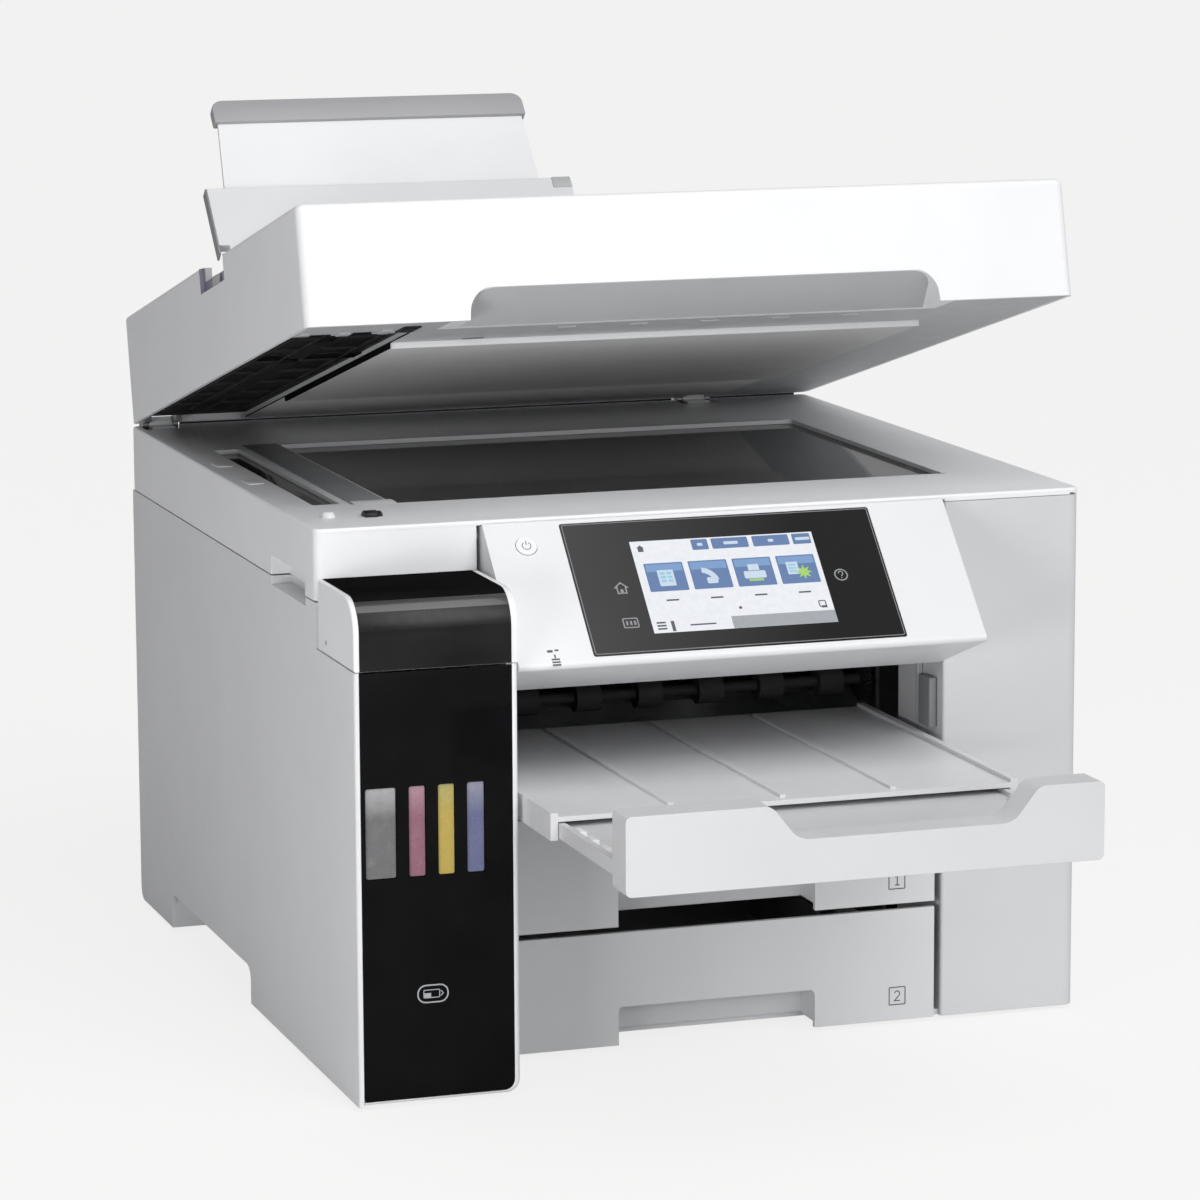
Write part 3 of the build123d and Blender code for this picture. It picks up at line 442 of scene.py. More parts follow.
# ---------------------------------------------------------------- printed marks and the screen
PRINT = 0.06                    # thickness of a printed mark
GLASS_HALF_HEIGHT = 41.4        # half of the panel glass, up its slope
GLASS_LINE_INSET = 0.9
PANEL_FACE = -0.3               # the white panel's face, below the glass's


def house(cx, cy, size):
    """A plain house outline."""
    half = size / 2
    return [(cx - half * 0.7, cy - half), (cx + half * 0.7, cy - half), (cx + half * 0.7, cy + half * 0.1),
            (cx + half, cy + half * 0.1), (cx, cy + half), (cx - half, cy + half * 0.1),
            (cx - half * 0.7, cy + half * 0.1)]


def star(cx, cy, outer, inner, rays=8):
    points = []
    for i in range(rays * 2):
        radius = inner if i % 2 else outer
        angle = math.pi * i / rays
        points.append((cx + radius * math.sin(angle), cy + radius * math.cos(angle)))
    return points


def screen_layer(name, color, outlines, low, high):
    """Flat areas of one colour on the screen."""
    shape = bmesh.new()
    for outline in outlines:
        prism(shape, PANEL, outline, low, high)
    piece(name, "control_panel", SCREEN[color], shape)


def screen_picture():
    """A generic start page: a header, four tiles with plain icons and a bar along the bottom."""
    x0, x1, y0, y1 = -50.5, 50.2, -30.0, 27.7
    low = 0.0
    base, raised, top = low + PRINT, low + 2 * PRINT, low + 3 * PRINT
    bar_top, field = y0 + 7.6, (x0 + 13.5, x0 + 42)
    screen_layer("screen_page", "white", [box_outline(x0, x1, y0, y1)], low, base)
    screen_layer("screen_bar", "bar", [box_outline(field[1] + 1.5, x1, y0, bar_top)], base, raised)
    marks = [house(x0 + 5, y1 - 4.6, 4.2),
             box_outline(field[0] - 3.2, field[0] - 1.4, y0 + 0.6, bar_top - 0.6),
             circle(x0 + 50, y0 + 12.6, 0.9, 12)]
    marks += [box_outline(x0 + 2.6, x0 + 7.6, y0 + 2 + row * 1.9, y0 + 3 + row * 1.9) for row in range(3)]
    marks += [box_outline(field[0] + 7, field[0] + 21, y0 + 3.4, y0 + 4.3)]
    buttons = ((0.33, 0.42), (0.44, 0.64), (0.665, 0.865), (0.885, 0.985))
    span = x1 - x0
    heads = [rounded(x0 + a * span, x0 + b * span, y1 - 7.4, y1 - 0.8, 0.7) for a, b in buttons]
    tiles = [(x0 + 4.2 + step * 24.2, x0 + 25.4 + step * 24.2) for step in range(4)]
    tile_low, tile_high = y0 + 25.6, y0 + 43.4
    for left, right in tiles:
        middle = (left + right) / 2
        marks.append(box_outline(middle - 3.4, middle + 3.4, tile_low - 6.2, tile_low - 5.2))
    screen_layer("screen_tiles", "tile", [rounded(a, b, tile_low, tile_high, 0.6) for a, b in tiles] + heads,
                 base, raised)
    shine = [rounded(a + 0.8, b - 0.8, tile_high - 5.4, tile_high - 0.8, 0.5) for a, b in tiles]
    screen_layer("screen_tile_shine", "tile_light", shine, raised, raised + PRINT / 2)
    screen_layer("screen_marks", "ink", marks, base, raised)
    screen_icons(tiles, tile_low, top)
    screen_corner_mark(x1 - 5.6, y0 + 12, base, raised)
    dots = []
    for index, (a, b) in enumerate(buttons):
        middle = x0 + (a + b) / 2 * span
        longer = index % 2
        dots.append(rounded(middle - 1.5 - longer * 2, middle + 1.5 + longer * 3, y1 - 5, y1 - 3.2, 0.6))
    screen_layer("screen_head_marks", "pale", dots, raised, top)


def screen_icons(tiles, tile_low, level):
    """A page, a pointing arc, a small printer and two pages with a star."""
    centres = [((a + b) / 2, tile_low + 8.2) for a, b in tiles]
    under = level - PRINT
    x, y = centres[0]
    pages = [rounded(x - 4.4, x + 4.4, y - 5, y + 5, 0.6)]
    inks = [box_outline(x - 3.2, x - 0.4, y - 2.6 + row * 2.4, y - 1.2 + row * 2.4) for row in range(3)]
    inks += [box_outline(x + 0.6, x + 3.2, y - 2.6 + row * 2.4, y - 1.2 + row * 2.4) for row in range(3)]
    x, y = centres[1]
    arcs = arc(x - 5.4, y - 4.4, 9.6, 10, 82) + arc(x - 5.4, y - 4.4, 6.4, 82, 10)
    pages += [arcs, rounded(x - 2.6, x + 3.2, y - 5, y - 1.2, 0.8)]
    x, y = centres[2]
    pages += [rounded(x - 6, x + 6, y - 3.4, y + 1.2, 0.8), box_outline(x - 3, x + 3, y + 1.6, y + 5.4)]
    greens = [box_outline(x - 4, x + 4, y - 5.2, y - 3.8)]
    x, y = centres[3]
    pages += [rounded(x - 6, x + 0.4, y - 2.4, y + 5.4, 0.6)]
    inks += [box_outline(x - 5, x - 0.8, y - 1 + row * 2, y + row * 2) for row in range(3)]
    greens.append(star(x + 2.8, y - 1.4, 4.6, 2.2))
    screen_layer("screen_icon_pages", "pale", pages, under, level)
    screen_layer("screen_icon_inks", "sky", inks, level, level + PRINT)
    screen_layer("screen_icon_greens", "green", greens, level, level + PRINT)


def screen_corner_mark(x, y, low, high):
    shape = bmesh.new()
    loop_band(shape, PANEL, rounded(x - 1.8, x + 1.8, y - 1.8, y + 1.8, 0.5), 0.6, low, high)
    prism(shape, PANEL, box_outline(x - 0.8, x + 2.2, y - 2.6, y - 1.2), low, high)
    piece("screen_corner_mark", "control_panel", SCREEN["ink"], shape)


def touch_marks():
    """Faint touch symbols printed behind the glass beside the screen."""
    shape = bmesh.new()
    loop_band(shape, PANEL, house(-61.5, -0.7, 6.6), 0.75, 0, PRINT)
    prism(shape, PANEL, box_outline(-62.3, -60.7, -4, -1.6), 0, PRINT)
    loop_band(shape, PANEL, rounded(-65.4, -57.6, -25.4, -19.8, 0.6), 0.7, 0, PRINT)
    for step in range(3):
        x = -64 + step * 2.1
        prism(shape, PANEL, box_outline(x, x + 1.1, -24, -21.4), 0, PRINT)
    loop_band(shape, PANEL, circle(59.5, -0.7, 3.4), 0.75, 0, PRINT)
    stroke(shape, PANEL, arc(59.5, 0.3, 1.2, 180, -60, 8) + [(59.5, -1.6)], 0.6, 0, PRINT)
    prism(shape, PANEL, circle(59.5, -2.6, 0.4, 8), 0, PRINT)
    piece("touch_marks", "control_panel", TRIM_GREY, shape)


def panel_trim():
    """A fine line just inside the edge of the panel's glass, and the marks at the panel's lower left."""
    half_wide = (glass_high - glass_low).x / MM / 2 - GLASS_LINE_INSET
    half_tall = GLASS_HALF_HEIGHT - GLASS_LINE_INSET
    shape = bmesh.new()
    loop_band(shape, PANEL, rounded(-half_wide, half_wide, -half_tall, half_tall, 1), 0.5, 0, PRINT)
    piece("panel_glass_line", "control_panel", PRINT_FAINT, shape)
    shape = bmesh.new()
    low, high = PANEL_FACE, PANEL_FACE + PRINT
    for x, y, size in ((-108.2, -36.6, 1.5), (-104.6, -36.2, 1.1)):
        prism(shape, PANEL, rounded(x - size, x + size, y - size * 0.5, y + size * 0.5, 0.3), low, high)
    for row in range(3):
        prism(shape, PANEL, box_outline(-108.4, -104, -45.6 + row * 1.7, -44.6 + row * 1.7), low, high)
    prism(shape, PANEL, box_outline(-106.6, -105.8, -41, -38.6), low, high)
    piece("status_marks", "control_panel", PRINT_DARK, shape)


def power_mark():
    """The usual power symbol on the button: an open ring with a bar."""
    low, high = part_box("power_button")
    place = flat_frame((low + high) / 2 - PRESS * 2.2 * MM, FACE_RIGHT, SLOPE_UP)
    shape = bmesh.new()
    stroke(shape, place, arc(0, 0, 2.3, 125, 415, 16), 0.55, 0, PRINT)
    stroke(shape, place, [(0, 0.6), (0, 3.1)], 0.55, 0, PRINT)
    piece("power_mark", "power_button", PRINT_FAINT, shape)


def digit(shape, place, value, x, y, low, high):
    """The numbers on the cassettes, 1 or 2, drawn as one stroke."""
    if value == 1:
        stroke(shape, place, [(x - 1, y + 1.6), (x + 0.2, y + 2.7), (x + 0.2, y - 2.7)], 0.6, low, high)
        stroke(shape, place, [(x - 1.1, y - 2.7), (x + 1.5, y - 2.7)], 0.6, low, high)
    else:
        curve = arc(x, y + 1.2, 1.5, 170, -30, 8) + [(x - 1.5, y - 2.7), (x + 1.7, y - 2.7)]
        stroke(shape, place, curve, 0.6, low, high)


def cassette_numbers():
    """A number in a square at the right of each cassette's face."""
    for number, x, z in ((1, 108, 79.5), (2, 108.5, 15.4)):
        shape = bmesh.new()
        loop_band(shape, FRONT, rounded(x - 4.6, x + 4.6, z - 4.8, z + 4.8, 0.4), 0.6, 0, PRINT)
        digit(shape, FRONT, number, x, z, 0, PRINT)
        piece(f"cassette_{number}_number", f"cassette_{number}", PRINT_DARK, shape)


def badge():
    """The bright ring in the ink unit's front and the cartridge symbol inside it."""
    x0, x1, z0, z1 = -181.7, -164.8, 53.7, 63.6
    shape = bmesh.new()
    loop_band(shape, TANK_FACE, rounded(x0 + 0.5, x1 - 0.5, z0 + 0.5, z1 - 0.5, 4.2), 0.7, -0.45, 0.02)
    middle = (z0 + z1) / 2
    loop_band(shape, TANK_FACE, rounded(x0 + 3.6, x1 - 5, middle - 2, middle + 2, 0.5), 0.45, 0, PRINT)
    prism(shape, TANK_FACE, box_outline(x0 + 3.9, x0 + 7.4, middle - 1.8, middle + 0.4), 0, PRINT)
    arrow = [(x1 - 4.4, middle + 1.4), (x1 - 3, middle), (x1 - 4.4, middle - 1.4)]
    stroke(shape, TANK_FACE, arrow, 0.45, 0, PRINT)
    piece("badge_ring", "base", PRINT_LIGHT, shape)


# ---------------------------------------------------------------- ink unit
# The cover's skin is one gloss black drawn as four copies, chosen by which way each face points, which paints its
# light: a glossless top that stays black, a much glossier band on the curve as a painted highlight, a shoulder
# between them and a front with a lighter black. Each line is the lowest upward tilt of a face's normal that takes
# the copy, and the copy's place: top, the curve's bright band, its shoulder, the front.
SKIN_HIGHLIGHT_ZONES = ((0.86, 1), (0.6, 0), (0.12, 2), (-2, 3))


def tank_cover_skin():
    """The black gloss skin over the cover's top and front, between its white cheeks."""
    low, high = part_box("tank_cover")
    front, top = (low.y - MAIN_FRONT) / MM, high.z / MM
    foot, back, curve, thick = low.z / MM, -4.2, 18.0, 0.35
    outer = [(back, top + thick)] + arc(front + curve, top - curve, curve + thick, 90, 180, 24)
    outer.append((front - thick, foot + 0.1))
    inner = [(front, foot + 0.1)] + arc(front + curve, top - curve, curve, 180, 90, 24) + [(back, top)]
    x0, x1 = -209.7, -130.3
    shape = bmesh.new()
    prism(shape, SECTION, outer + inner, x0, x1)
    skin = piece("tank_cover_skin", "tank_cover", SKIN_HIGHLIGHT_BAND, shape, soften=0.12)
    # The faces take the copies of the black by which way they point: a painted highlight band on the curve, a
    # glossless top and a lighter front.
    for finish in (SKIN_TOP, SKIN_SHOULDER, SKIN_FACE):
        skin.data.materials.append(finish)
    for polygon in skin.data.polygons:
        rise = polygon.normal.z
        polygon.material_index = next(index for lowest, index in SKIN_HIGHLIGHT_ZONES if rise > lowest)
    shape = bmesh.new()
    turned(shape, shifted(LEFT, 19.6, 232.4), [(0, 0.05), (1.3, 0.05), (1.5, -0.15)], 16)
    piece("tank_cover_pivot_mark", "tank_cover", TRIM_GREY, shape)


def tank_caps():
    """Grip ribs round each filler cap."""
    for ink in INKS:
        low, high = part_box("tank_cap_" + ink)
        centre = (low + high) / 2
        place = flat_frame((centre.x, centre.y, low.z), (1, 0, 0), (0, 1, 0))
        shape = bmesh.new()
        for step in range(18):
            turn = Matrix.Rotation(math.radians(step * 20), 4, "Z")
            prism(shape, place @ turn, box_outline(6.5, 7.1, -0.5, 0.5), 2, 16.5)
        piece(f"cap_ribs_{ink}", "tank_cap_" + ink, FINISHES["cap_" + ink], shape, soften=0.15)


# ---------------------------------------------------------------- scanner
def scanner_trim():
    """The raised strip between the panes, its bright lead edge, pads, the lid's stops and a sensor hook."""
    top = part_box("scanner_top")[1].z / MM
    shape = bmesh.new()
    side = [(75, top - 0.3), (77, top + 0.5), (311, top + 0.5), (312, top - 0.3)]
    prism(shape, SECTION, side, -172, -151.5)
    piece("scanner_strip_bridge", "scanner", TRIM_GREY, shape, soften=0.15)
    shape = bmesh.new()
    prism(shape, SECTION, [(68, top - 0.3), (76, top + 0.55), (84, top + 0.55), (84, top - 0.3)], -171, -148)
    piece("scanner_bridge_tip", "scanner", FINISHES["white_shell"], shape, soften=0.15)
    shape = bmesh.new()
    for y in (171, 240):
        prism(shape, BODY, rounded(-206, -196.5, y - 8, y + 8, 1.5), top - 0.3, top + 0.45)
    piece("scanner_side_pads", "scanner", FINISHES["white_shell"], shape, soften=0.2)
    shape = bmesh.new()
    turned(shape, shifted(BODY, -195, 38, top), [(0, 2.9), (2.4, 2.7), (3.4, 1.8), (3.8, -0.3)])
    piece("scanner_corner_stop", "scanner", FINISHES["white_shell"], shape)
    shape = bmesh.new()
    hook = [(29.5, top - 0.3), (30.2, top + 2.2), (32.5, top + 2.9), (35.5, top + 2.9),
            (39, top + 1.2), (39.5, top - 0.3)]
    prism(shape, SECTION, hook, -177, -170)
    prism(shape, SECTION, [(y + 1.5, z - 0.6) for y, z in hook[:4]] + [(37, top - 0.9)], -169.4, -167.4)
    piece("lid_sensor_hook", "scanner", FINISHES["dark_plastic"], shape, soften=0.3)


def glass_trim():
    """A bead behind the flatbed pane, and the scale ticks and corner arrow at its right."""
    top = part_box("scanner_top")[1].z / MM
    shape = bmesh.new()
    prism(shape, BODY, box_outline(-150, 158.5, 308.2, 310.4), top - 0.2, top + 0.15)
    piece("glass_rear_bead", "scanner", TRIM_LIGHT, shape, soften=0.1)
    shape = bmesh.new()
    for step in range(22):
        y, length = 78 + step * 10, 2.2 if step % 5 else 3.6
        prism(shape, BODY, box_outline(160, 160 + length, y, y + 0.4), top, top + PRINT)
    prism(shape, BODY, [(159.6, 71.5), (164.6, 71.5), (159.6, 76.5)], top, top + PRINT)
    piece("glass_scale", "scanner", TRIM_GREY, shape)


# ---------------------------------------------------------------- lid and feeder
# In the lid's frame y runs from the hinge, so the lid's front edge is at -417.
SCOOP_FRONT, SCOOP_BACK = -417, -391
LID_TOP = 63.6
PLATE = 0.4                     # the underside plate's lower face
SEAL_X = (-147.4, -146.1)       # the scan bed's right edge


def scoop_shade_sheet():
    """A grey sheet in the finger scoop of the lid's front edge, painted shade for the recess; it follows the
    scoop's slope.
    """
    run, rise = SCOOP_BACK - SCOOP_FRONT, 17.0
    place = shifted(LID, 0, SCOOP_FRONT, 17.4) @ Matrix.Rotation(-math.atan2(rise, run), 4, "X")
    far = math.hypot(run, rise)
    outline = [(-124.4, far - 0.6), (135.4, far - 0.6)]
    outline += arc(119.6, 14.2, 14, 0, -90, 6) + arc(-108.6, 14.2, 14, -90, -180, 6)
    shape = bmesh.new()
    prism(shape, place, outline, -0.35, 0.1)
    piece("scoop_shade_sheet", "lid", SCOOP_SHADE_GREY, shape, soften=0.1)


def lid_underside_details():
    """The latch and its clips at the front left, and in front of the mat a dark patch painted as a slot's shade, a
    white strip painted as the highlight on the mat's front edge, and pads.
    """
    shape = bmesh.new()
    for x, y, wide, long in ((-184, -384.5, 7, 8), (-162.5, -388, 6, 12), (-206, -388, 5, 8)):
        outline = rounded(x - wide / 2, x + wide / 2, y - long / 2, y + long / 2, 1)
        prism(shape, LID, outline, -0.5, PLATE + 0.4)
    piece("latch_clips", "lid", TRIM_LIGHT, shape, soften=0.3)
    shape = bmesh.new()
    prism(shape, LID, rounded(-156.5, -147, -404, -384, 1), -0.3, PLATE + 0.6)
    prism(shape, LID, box_outline(-155, -148.5, -402, -394), -0.55, -0.2)
    piece("lid_latch", "lid", FINISHES["dark_plastic"], shape, soften=0.3)
    shape = bmesh.new()
    # A flat dark patch on the underside: painted shade of a slot.
    prism(shape, LID, rounded(-108, -96, -345.5, -341, 1), PLATE - PRINT, PLATE + 0.2)
    piece("lid_slot_shade", "lid", FINISHES["dark_plastic"], shape)
    shape = bmesh.new()
    # A white strip over the mat's front face: painted highlight where the edge catches the light.
    prism(shape, LID, box_outline(-146, 154, -339.4, -337.4), -2.9, PLATE)
    piece("mat_front_highlight", "lid", FINISHES["white_shell"], shape, soften=0.3)
    shape = bmesh.new()
    for x in (-60, -20, 20, 60, 100):
        prism(shape, LID, rounded(x - 5, x + 5, -377, -372, 1), PLATE - 0.5, PLATE + 0.2)
    piece("lid_front_pads", "lid", FINISHES["lid_liner"], shape, soften=0.2)


def scan_bed_details():
    """Guide ribs and a roller strip on the black bed, seals along its edge and the pad behind the mat."""
    shape = bmesh.new()
    low, high = 1.4, 3.1
    for step in range(7):
        y = -360 + step * 46
        prism(shape, LID, box_outline(-204, -190, y, y + 2), low, high)
        prism(shape, LID, box_outline(-178, -158, y, y + 2), low, high)
    for x in (-205, -189.5, -178.5, -157):
        prism(shape, LID, box_outline(x, x + 1.4, -376, -52), low + 0.3, high)
    piece("scan_bed_ribs", "lid", FINISHES["dark_plastic"], shape, soften=0.2)
    shape = bmesh.new()
    prism(shape, LID, box_outline(-203, -143.5, -284, -266), 2.2, 2.85)
    for y0, y1, low in ((-378, -338, 0.2), (-337.4, -112.6, -2.65), (-112, -16, 0.2)):
        prism(shape, LID, box_outline(*SEAL_X, y0, y1), low, 0.5)
    piece("scan_bed_seals", "lid", SKIN_TOP, shape, soften=0.1)
    shape = bmesh.new()
    prism(shape, LID, box_outline(-146, 154, -112.5, -18), 0.2, 0.5)
    piece("mat_rear_pad", "lid", FINISHES["foam_white"], shape, soften=0.1)


def feeder_flap_details():
    """The flap's grey end, a grey strip on its left edge that paints the edge's shade, and the pull-out leaf's
    grey cap.
    """
    shape = bmesh.new()
    prism(shape, FLAP, rounded(-13.5, -2.1, -3.35, 3.35, 0.8), 41, 48.4)
    piece("flap_end_block", "adf_flap", TRIM_LIGHT, shape, soften=0.3)
    # A grey strip on the flap's left edge: painted shade.
    shape = bmesh.new()
    prism(shape, FLAP, rounded(-212.45, -211.2, -3.3, 3.3, 0.5), 3.2, 47.6)
    piece("flap_edge_shade", "adf_flap", TRIM_GREY, shape, soften=0.2)
    wall = flat_frame(FLAP @ Vector((0, 0, 0)), FACE_RIGHT, PULL)
    outline = [(-198.2, 94.5), (-17.8, 94.5)]
    outline += arc(-24.2, 103.4, 6.4, 0, 90, 6) + arc(-191.8, 103.4, 6.4, 90, 180, 6)
    shape = bmesh.new()
    prism(shape, wall, outline, -3.25, 3.25)
    piece("extension_cap", "adf_flap_extension", CAP_GREY, shape, soften=0.9)


def feeder_notch():
    """The lilac lining and the paler bearing in the lid's left notch."""
    shape = bmesh.new()
    prism(shape, LID, box_outline(-212.3, -209.2, -253.8, -197.2), 49.0, 49.4)
    prism(shape, LID, box_outline(-212.3, -209.2, -253.8, -253.4), 49.4, 63.4)
    prism(shape, LID, box_outline(-212.3, -209.2, -197.6, -197.2), 49.4, 63.4)
    prism(shape, LID, box_outline(-209.3, -208.95, -253.6, -197.2), 49.4, 56)
    piece("notch_lining", "lid", TRIM_LILAC, shape, soften=0.1)
    shape = bmesh.new()
    prism(shape, LID, rounded(-211.9, -209.6, -236, -224, 1), 49.4, 55)
    piece("notch_bearing", "lid", TRIM_LIGHT, shape, soften=0.4)


def feeder_marks():
    """A page symbol on the feeder's cover and grip ribs at its rear edge."""
    shape = bmesh.new()
    low, high = LID_TOP, LID_TOP + PRINT
    loop_band(shape, LID, rounded(-44, -32, -322, -306, 0.8), 0.6, low, high)
    for row in range(3):
        prism(shape, LID, box_outline(-41.5, -34.5, -318 + row * 3.4, -317.2 + row * 3.4), low, high)
    stroke(shape, LID, [(-52, -314), (-47.5, -314)], 0.6, low, high)
    stroke(shape, LID, [(-49.5, -311.8), (-47.2, -314), (-49.5, -316.2)], 0.6, low, high)
    piece("feeder_symbol", "adf_cover", TRIM_GREY, shape)
    shape = bmesh.new()
    for step in range(4):
        y = -276 + step * 3
        prism(shape, LID, rounded(-125, -85, y, y + 1.2, 0.5), LID_TOP - 0.1, LID_TOP + 0.4)
    piece("feeder_cover_grip", "adf_cover", FINISHES["white_shell"], shape, soften=0.15)


def roller_details():
    """The toothed wheels on the feeder's, the feed and the exit roller's shafts."""
    wheel("adf_feed_roller", LID, -275, 36, -24, 9, 18)
    wheel("feed_roller", BODY, 215, 170, 126.4, 12, 24)
    wheel("exit_roller", BODY, 105, 170, 126.4, 12, 24)


def wheel(body, place, y, z, x, radius, teeth):
    """A toothed wheel on a body's shaft along X, open at the middle for the shaft."""
    thick, bore, root, tip = 3.6, 3.05, radius - 1.1, radius + 0.9
    spin = place @ Matrix.Translation((x, y, z)) @ Matrix.Rotation(math.radians(90), 4, "Y")
    pitch = 360 / teeth
    outline = []
    for tooth in range(teeth):
        for share, reach in ((-0.32, root), (-0.16, tip), (0.16, tip), (0.32, root)):
            turn = math.radians(pitch * tooth + share * pitch)
            outline.append((reach * math.cos(turn), reach * math.sin(turn)))
    shape = bmesh.new()
    ring_between(shape, spin, outline, circle(0, 0, bore, len(outline)), 0, thick)
    piece(f"{body}_gear", body, FINISHES["dark_plastic"], shape)


# ---------------------------------------------------------------- output bay and cassettes
def scanner_rear_lip():
    """A low lip behind the lid's rear edge that closes the slit between the lid and the scanner; it is black,
    painted shade for the slit.
    """
    top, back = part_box("scanner_top")[1].z / MM, 416.0
    shape = bmesh.new()
    for x0, x1 in ((-183, 126), (150.5, 206), (-207, -204)):
        side = [(back - 0.2, 280), (back + 3.2, 280), (back + 3.2, top + 1.6), (back + 1.5, top + 1.9),
                (back + 1.5, top - 1), (back - 0.2, top - 1)]
        prism(shape, SECTION, side, x0, x1)
    # Black plastic here paints the slit's shade.
    piece("scanner_rear_lip", "scanner", FINISHES["dark_plastic"], shape, soften=0.2)


def bay_details():
    """A ribbed exit guide over the star wheels, and at the bay's right a grey post, painted shade on the bay's
    right wall, with a lighter strip behind it as a painted highlight.
    """
    shape = bmesh.new()
    prism(shape, SECTION, [(86, 190.4), (118, 190.4), (116, 194), (88, 194)], -124, 127)
    for step in range(15):
        x = -112 + step * 16
        prism(shape, SECTION, [(82, 189.2), (90, 188), (118, 190.5), (118, 194), (86, 194)], x, x + 2)
    piece("exit_guide", "base", FINISHES["dark_plastic"], shape, soften=0.3)
    # A grey post standing for the shade on the bay's right wall: painted shade.
    shape = bmesh.new()
    prism(shape, BODY, rounded(129.3, 133.7, 8, 24, 1), 160, 187)
    piece("bay_post", "base", TRIM_GREY, shape, soften=0.5)
    # A lighter strip standing for the bright line on that wall: painted highlight.
    shape = bmesh.new()
    prism(shape, BODY, rounded(130.5, 133.7, 28, 31, 0.6), 160, 196)
    piece("bay_highlight_strip", "base", TRIM_LIGHT, shape, soften=0.4)


def tray_details():
    """Small brackets along both sides of the tray's outer stage."""
    shape = bmesh.new()
    low, high = 149.2, 152.1
    for x0, x1 in ((-116.2, -112.6), (117.2, 120.8)):
        for step in range(4):
            y = -200 + step * 20
            prism(shape, SECTION, [(y, low), (y + 1.5, high), (y + 11, high), (y + 13, low)], x0, x1)
    piece("tray_brackets", "tray_front", FINISHES["white_shell"], shape, soften=0.3)


# ---------------------------------------------------------------- rear, sides and underside
def screw(shape, place, x, y, radius=3.0, sink=0.0):
    """A cross-slot screw head: four quarters standing on a washer."""
    here = shifted(place, x, y, -sink)
    turned(shape, here, [(0, 0.25), (radius * 1.25, 0.25), (radius * 1.3, 0)], 24)
    gap = radius * 0.14
    for quarter in range(4):
        turn = Matrix.Rotation(math.radians(90 * quarter), 4, "Z")
        limit = math.degrees(math.asin(gap / radius))
        outline = [(gap, gap)] + arc(0, 0, radius, limit, 90 - limit, 6)
        prism(shape, here @ turn, outline, 0.2, 0.95)


SOCKETS_X = 175
SOCKETS = ((186, 12, 11, 4), (166, 13, 7, 4), (147, 15, 13, 8), (129, 11, 9, 4))    # z, width, height, pins


def rear_details():
    """Screws, socket contacts and shields, ribs over the vent and a blank mark."""
    shape = bmesh.new()
    for x in (-201, 201):
        for z in (14, 130, 240):
            screw(shape, REAR, x, z)
    piece("rear_screws", "base", SCREW_METAL, shape, soften=0.12)
    deck = flat_frame((0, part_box("rear_ports")[1].y, 0), (-1, 0, 0), FACE_UP)
    shape = bmesh.new()
    for z, wide, tall, pins in SOCKETS:
        pitch = (wide - 4) / (pins - 1)
        for pin in range(pins):
            x = SOCKETS_X - (wide - 4) / 2 + pitch * pin
            prism(shape, deck, box_outline(x - 0.35, x + 0.35, z + 1.2, z + 2.6), -11.6, -3)
    piece("socket_contacts", "base", BRIGHT_METAL, shape)
    shape = bmesh.new()
    for z, wide, tall, pins in SOCKETS:
        x0, x1 = SOCKETS_X - wide / 2 - 0.5, SOCKETS_X + wide / 2 + 0.5
        outline = rounded(x0, x1, z - tall / 2 - 0.5, z + tall / 2 + 0.5, 0.6)
        loop_band(shape, deck, outline, 0.7, -0.1, 0.4)
    piece("socket_shields", "base", FINISHES["steel_sheet"], shape, soften=0.1)
    shape = bmesh.new()
    for row in range(9):
        prism(shape, REAR, rounded(-196, -140, 112 + row * 6, 114.4 + row * 6, 1.1), -0.1, 0.35)
    piece("rear_vent_ribs", "base", FINISHES["body_shell"], shape, soften=0.15)
    shape = bmesh.new()
    prism(shape, REAR, rounded(-170, -150, 90, 94, 1), 0, PRINT)
    piece("rear_blank_mark", "base", TRIM_GREY, shape)


def underside_details():
    """Screws in the underside and a grid of ribs on the base pan."""
    shape = bmesh.new()
    for y in (120, 365):
        screw(shape, UNDER, -203, -y, 2.6)
        screw(shape, UNDER, 203, -y, 2.6)
    for y in (40, 200, 395):
        screw(shape, UNDER, -60, -y, 2.6)
        screw(shape, UNDER, 60, -y, 2.6)
    piece("underside_screws", "base", SCREW_METAL, shape, soften=0.12)
    shape = bmesh.new()
    for step in range(9):
        y = -(60 + step * 40)
        prism(shape, UNDER, box_outline(-180, 180, y - 1, y + 1), -0.2, 0.7)
    for x in (-150, -90, -30, 30, 90, 150):
        prism(shape, UNDER, box_outline(x - 1, x + 1, -400, -45), -0.2, 0.7)
    piece("underside_ribs", "base", FINISHES["body_shell"], shape)


for build in (screen_picture, touch_marks, panel_trim, power_mark, cassette_numbers, badge, tank_cover_skin,
              tank_caps, scanner_trim, glass_trim, scanner_rear_lip, scoop_shade_sheet, lid_underside_details,
              scan_bed_details, feeder_flap_details, feeder_notch,
              feeder_marks, roller_details, bay_details, tray_details, rear_details,
              underside_details):
    build()


# ---------------------------------------------------------------- camera, light, floor
# The camera's place and directions were worked out from the printer's straight edges.
LENS, SENSOR = 143.49, 36.0     # mm
CAMERA_PLACE = (-0.83171, -2.43202, 0.66914)
LOOK = Vector((0.309976, 0.935177, -0.171347))
CAMERA_RIGHT = Vector((0.948945, -0.315406, -0.004727))
CAMERA_UP = Vector((0.058464, 0.161133, 0.985199))


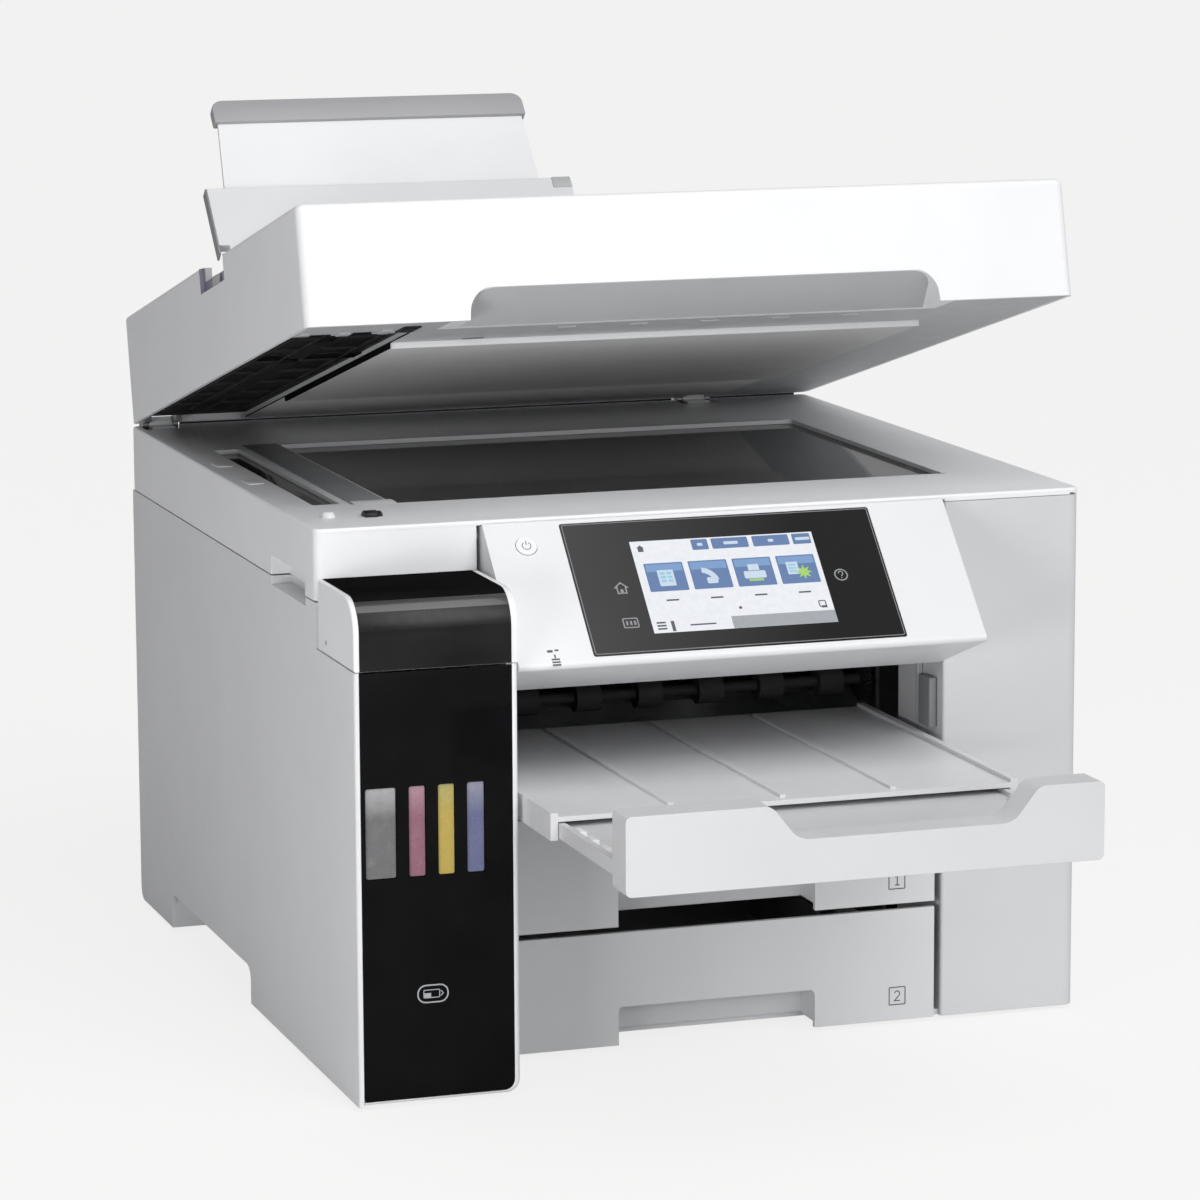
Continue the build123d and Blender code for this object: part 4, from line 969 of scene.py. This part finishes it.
def camera():
    """The camera at the photograph's angle."""
    data = bpy.data.cameras.new("camera")
    data.lens = LENS
    data.sensor_width = SENSOR
    data.clip_end = 60
    turn = Matrix((CAMERA_RIGHT, CAMERA_UP, -LOOK)).transposed().to_4x4()
    view = bpy.data.objects.new("camera", data)
    view.matrix_world = Matrix.Translation(CAMERA_PLACE) @ turn
    bpy.context.scene.collection.objects.link(view)
    bpy.context.scene.camera = view


def lamp(name, kind, place, target, energy):
    """A lamp that the camera doesn't see, and that only shows in gloss if it is the key or the top."""
    data = bpy.data.lights.new(name, kind)
    data.energy = energy
    thing = bpy.data.objects.new(name, data)
    thing.location = place
    thing.rotation_euler = (Vector(target) - Vector(place)).to_track_quat("-Z", "Y").to_euler()
    thing.visible_camera = False
    thing.visible_glossy = name in ("key", "top")
    bpy.context.scene.collection.objects.link(thing)
    return data


SKY_LEFT, SKY_RIGHT, KEY, TOP, FILL, FRONT_FILL = 0.21, 0.46, 1.1, 6.0, 6.5, 4.0
FLOOR_TINT = (0.95, 0.95, 0.945)
FLOOR_RETURN = 0.58             # what the floor gives back to the object
FLOOR_GLOW = 0.85               # how much of the floor that the camera sees is an even glow


def studio():
    """Sky light that grows to the right, a broad sun for the key, a soft box overhead and two low fills."""
    world = bpy.data.worlds.new("studio")
    world.use_nodes = True
    tree = world.node_tree
    sky = tree.nodes["Background"]
    sky.inputs["Color"].default_value = (0.98, 0.985, 1, 1)
    direction = tree.nodes.new("ShaderNodeTexCoord")
    split = tree.nodes.new("ShaderNodeSeparateXYZ")
    link(tree, direction.outputs["Generated"], split.inputs["Vector"])
    link(tree, remap(tree, split.outputs["X"], SKY_LEFT, SKY_RIGHT, -0.9, 0.4), sky.inputs["Strength"])
    plain = tree.nodes.new("ShaderNodeBackground")
    plain.inputs["Color"].default_value = (0.96, 0.96, 0.955, 1)
    path = tree.nodes.new("ShaderNodeLightPath")
    mix = tree.nodes.new("ShaderNodeMixShader")
    link(tree, path.outputs["Is Camera Ray"], mix.inputs["Fac"])
    link(tree, sky.outputs["Background"], mix.inputs[1])
    link(tree, plain.outputs["Background"], mix.inputs[2])
    link(tree, mix.outputs["Shader"], tree.nodes["World Output"].inputs["Surface"])
    bpy.context.scene.world = world
    key = lamp("key", "SUN", (0.3, -0.74, 0.6), (0, 0, 0), KEY)
    key.angle = math.radians(44)
    top = lamp("top", "AREA", (0.1, -0.6, 1.7), (0, -0.1, 0.25), TOP)
    top.shape = "RECTANGLE"
    top.size, top.size_y = 1.6, 0.9
    fill = lamp("fill", "AREA", (-1.0, -0.85, 0.1), (-0.2, -0.25, 0.12), FILL)
    fill.size = 0.5
    front = lamp("front", "AREA", (0.1, -1.7, 0.3), (0, -0.3, 0.2), FRONT_FILL)
    front.size = 0.6


def floor():
    """A wide pale floor that gives back less light to the object than it shows."""
    mesh = bpy.data.meshes.new("floor")
    shape = bmesh.new()
    bmesh.ops.create_grid(shape, x_segments=8, y_segments=8, size=20)
    shape.to_mesh(mesh)
    shape.free()
    ground = bpy.data.objects.new("floor", mesh)
    paint = surface("floor_paint", FLOOR_TINT, 0.7, tone=0.005, patch=2, grain=300)
    tree = paint.node_tree
    dim = tree.nodes.new("ShaderNodeBsdfDiffuse")
    dim.inputs["Color"].default_value = (FLOOR_RETURN, FLOOR_RETURN, FLOOR_RETURN, 1)
    path = tree.nodes.new("ShaderNodeLightPath")
    mix = tree.nodes.new("ShaderNodeMixShader")
    link(tree, path.outputs["Is Camera Ray"], mix.inputs["Fac"])
    glow = tree.nodes.new("ShaderNodeEmission")
    glow.inputs["Color"].default_value = (*FLOOR_TINT, 1)
    sheet = tree.nodes.new("ShaderNodeMixShader")
    sheet.inputs["Fac"].default_value = FLOOR_GLOW
    link(tree, tree.nodes["Principled BSDF"].outputs["BSDF"], sheet.inputs[1])
    link(tree, glow.outputs["Emission"], sheet.inputs[2])
    link(tree, dim.outputs["BSDF"], mix.inputs[1])
    link(tree, sheet.outputs["Shader"], mix.inputs[2])
    link(tree, mix.outputs["Shader"], tree.nodes["Material Output"].inputs["Surface"])
    mesh.materials.append(paint)
    bpy.context.scene.collection.objects.link(ground)


bpy.context.scene.view_settings.view_transform = "Standard"
camera()
studio()
floor()
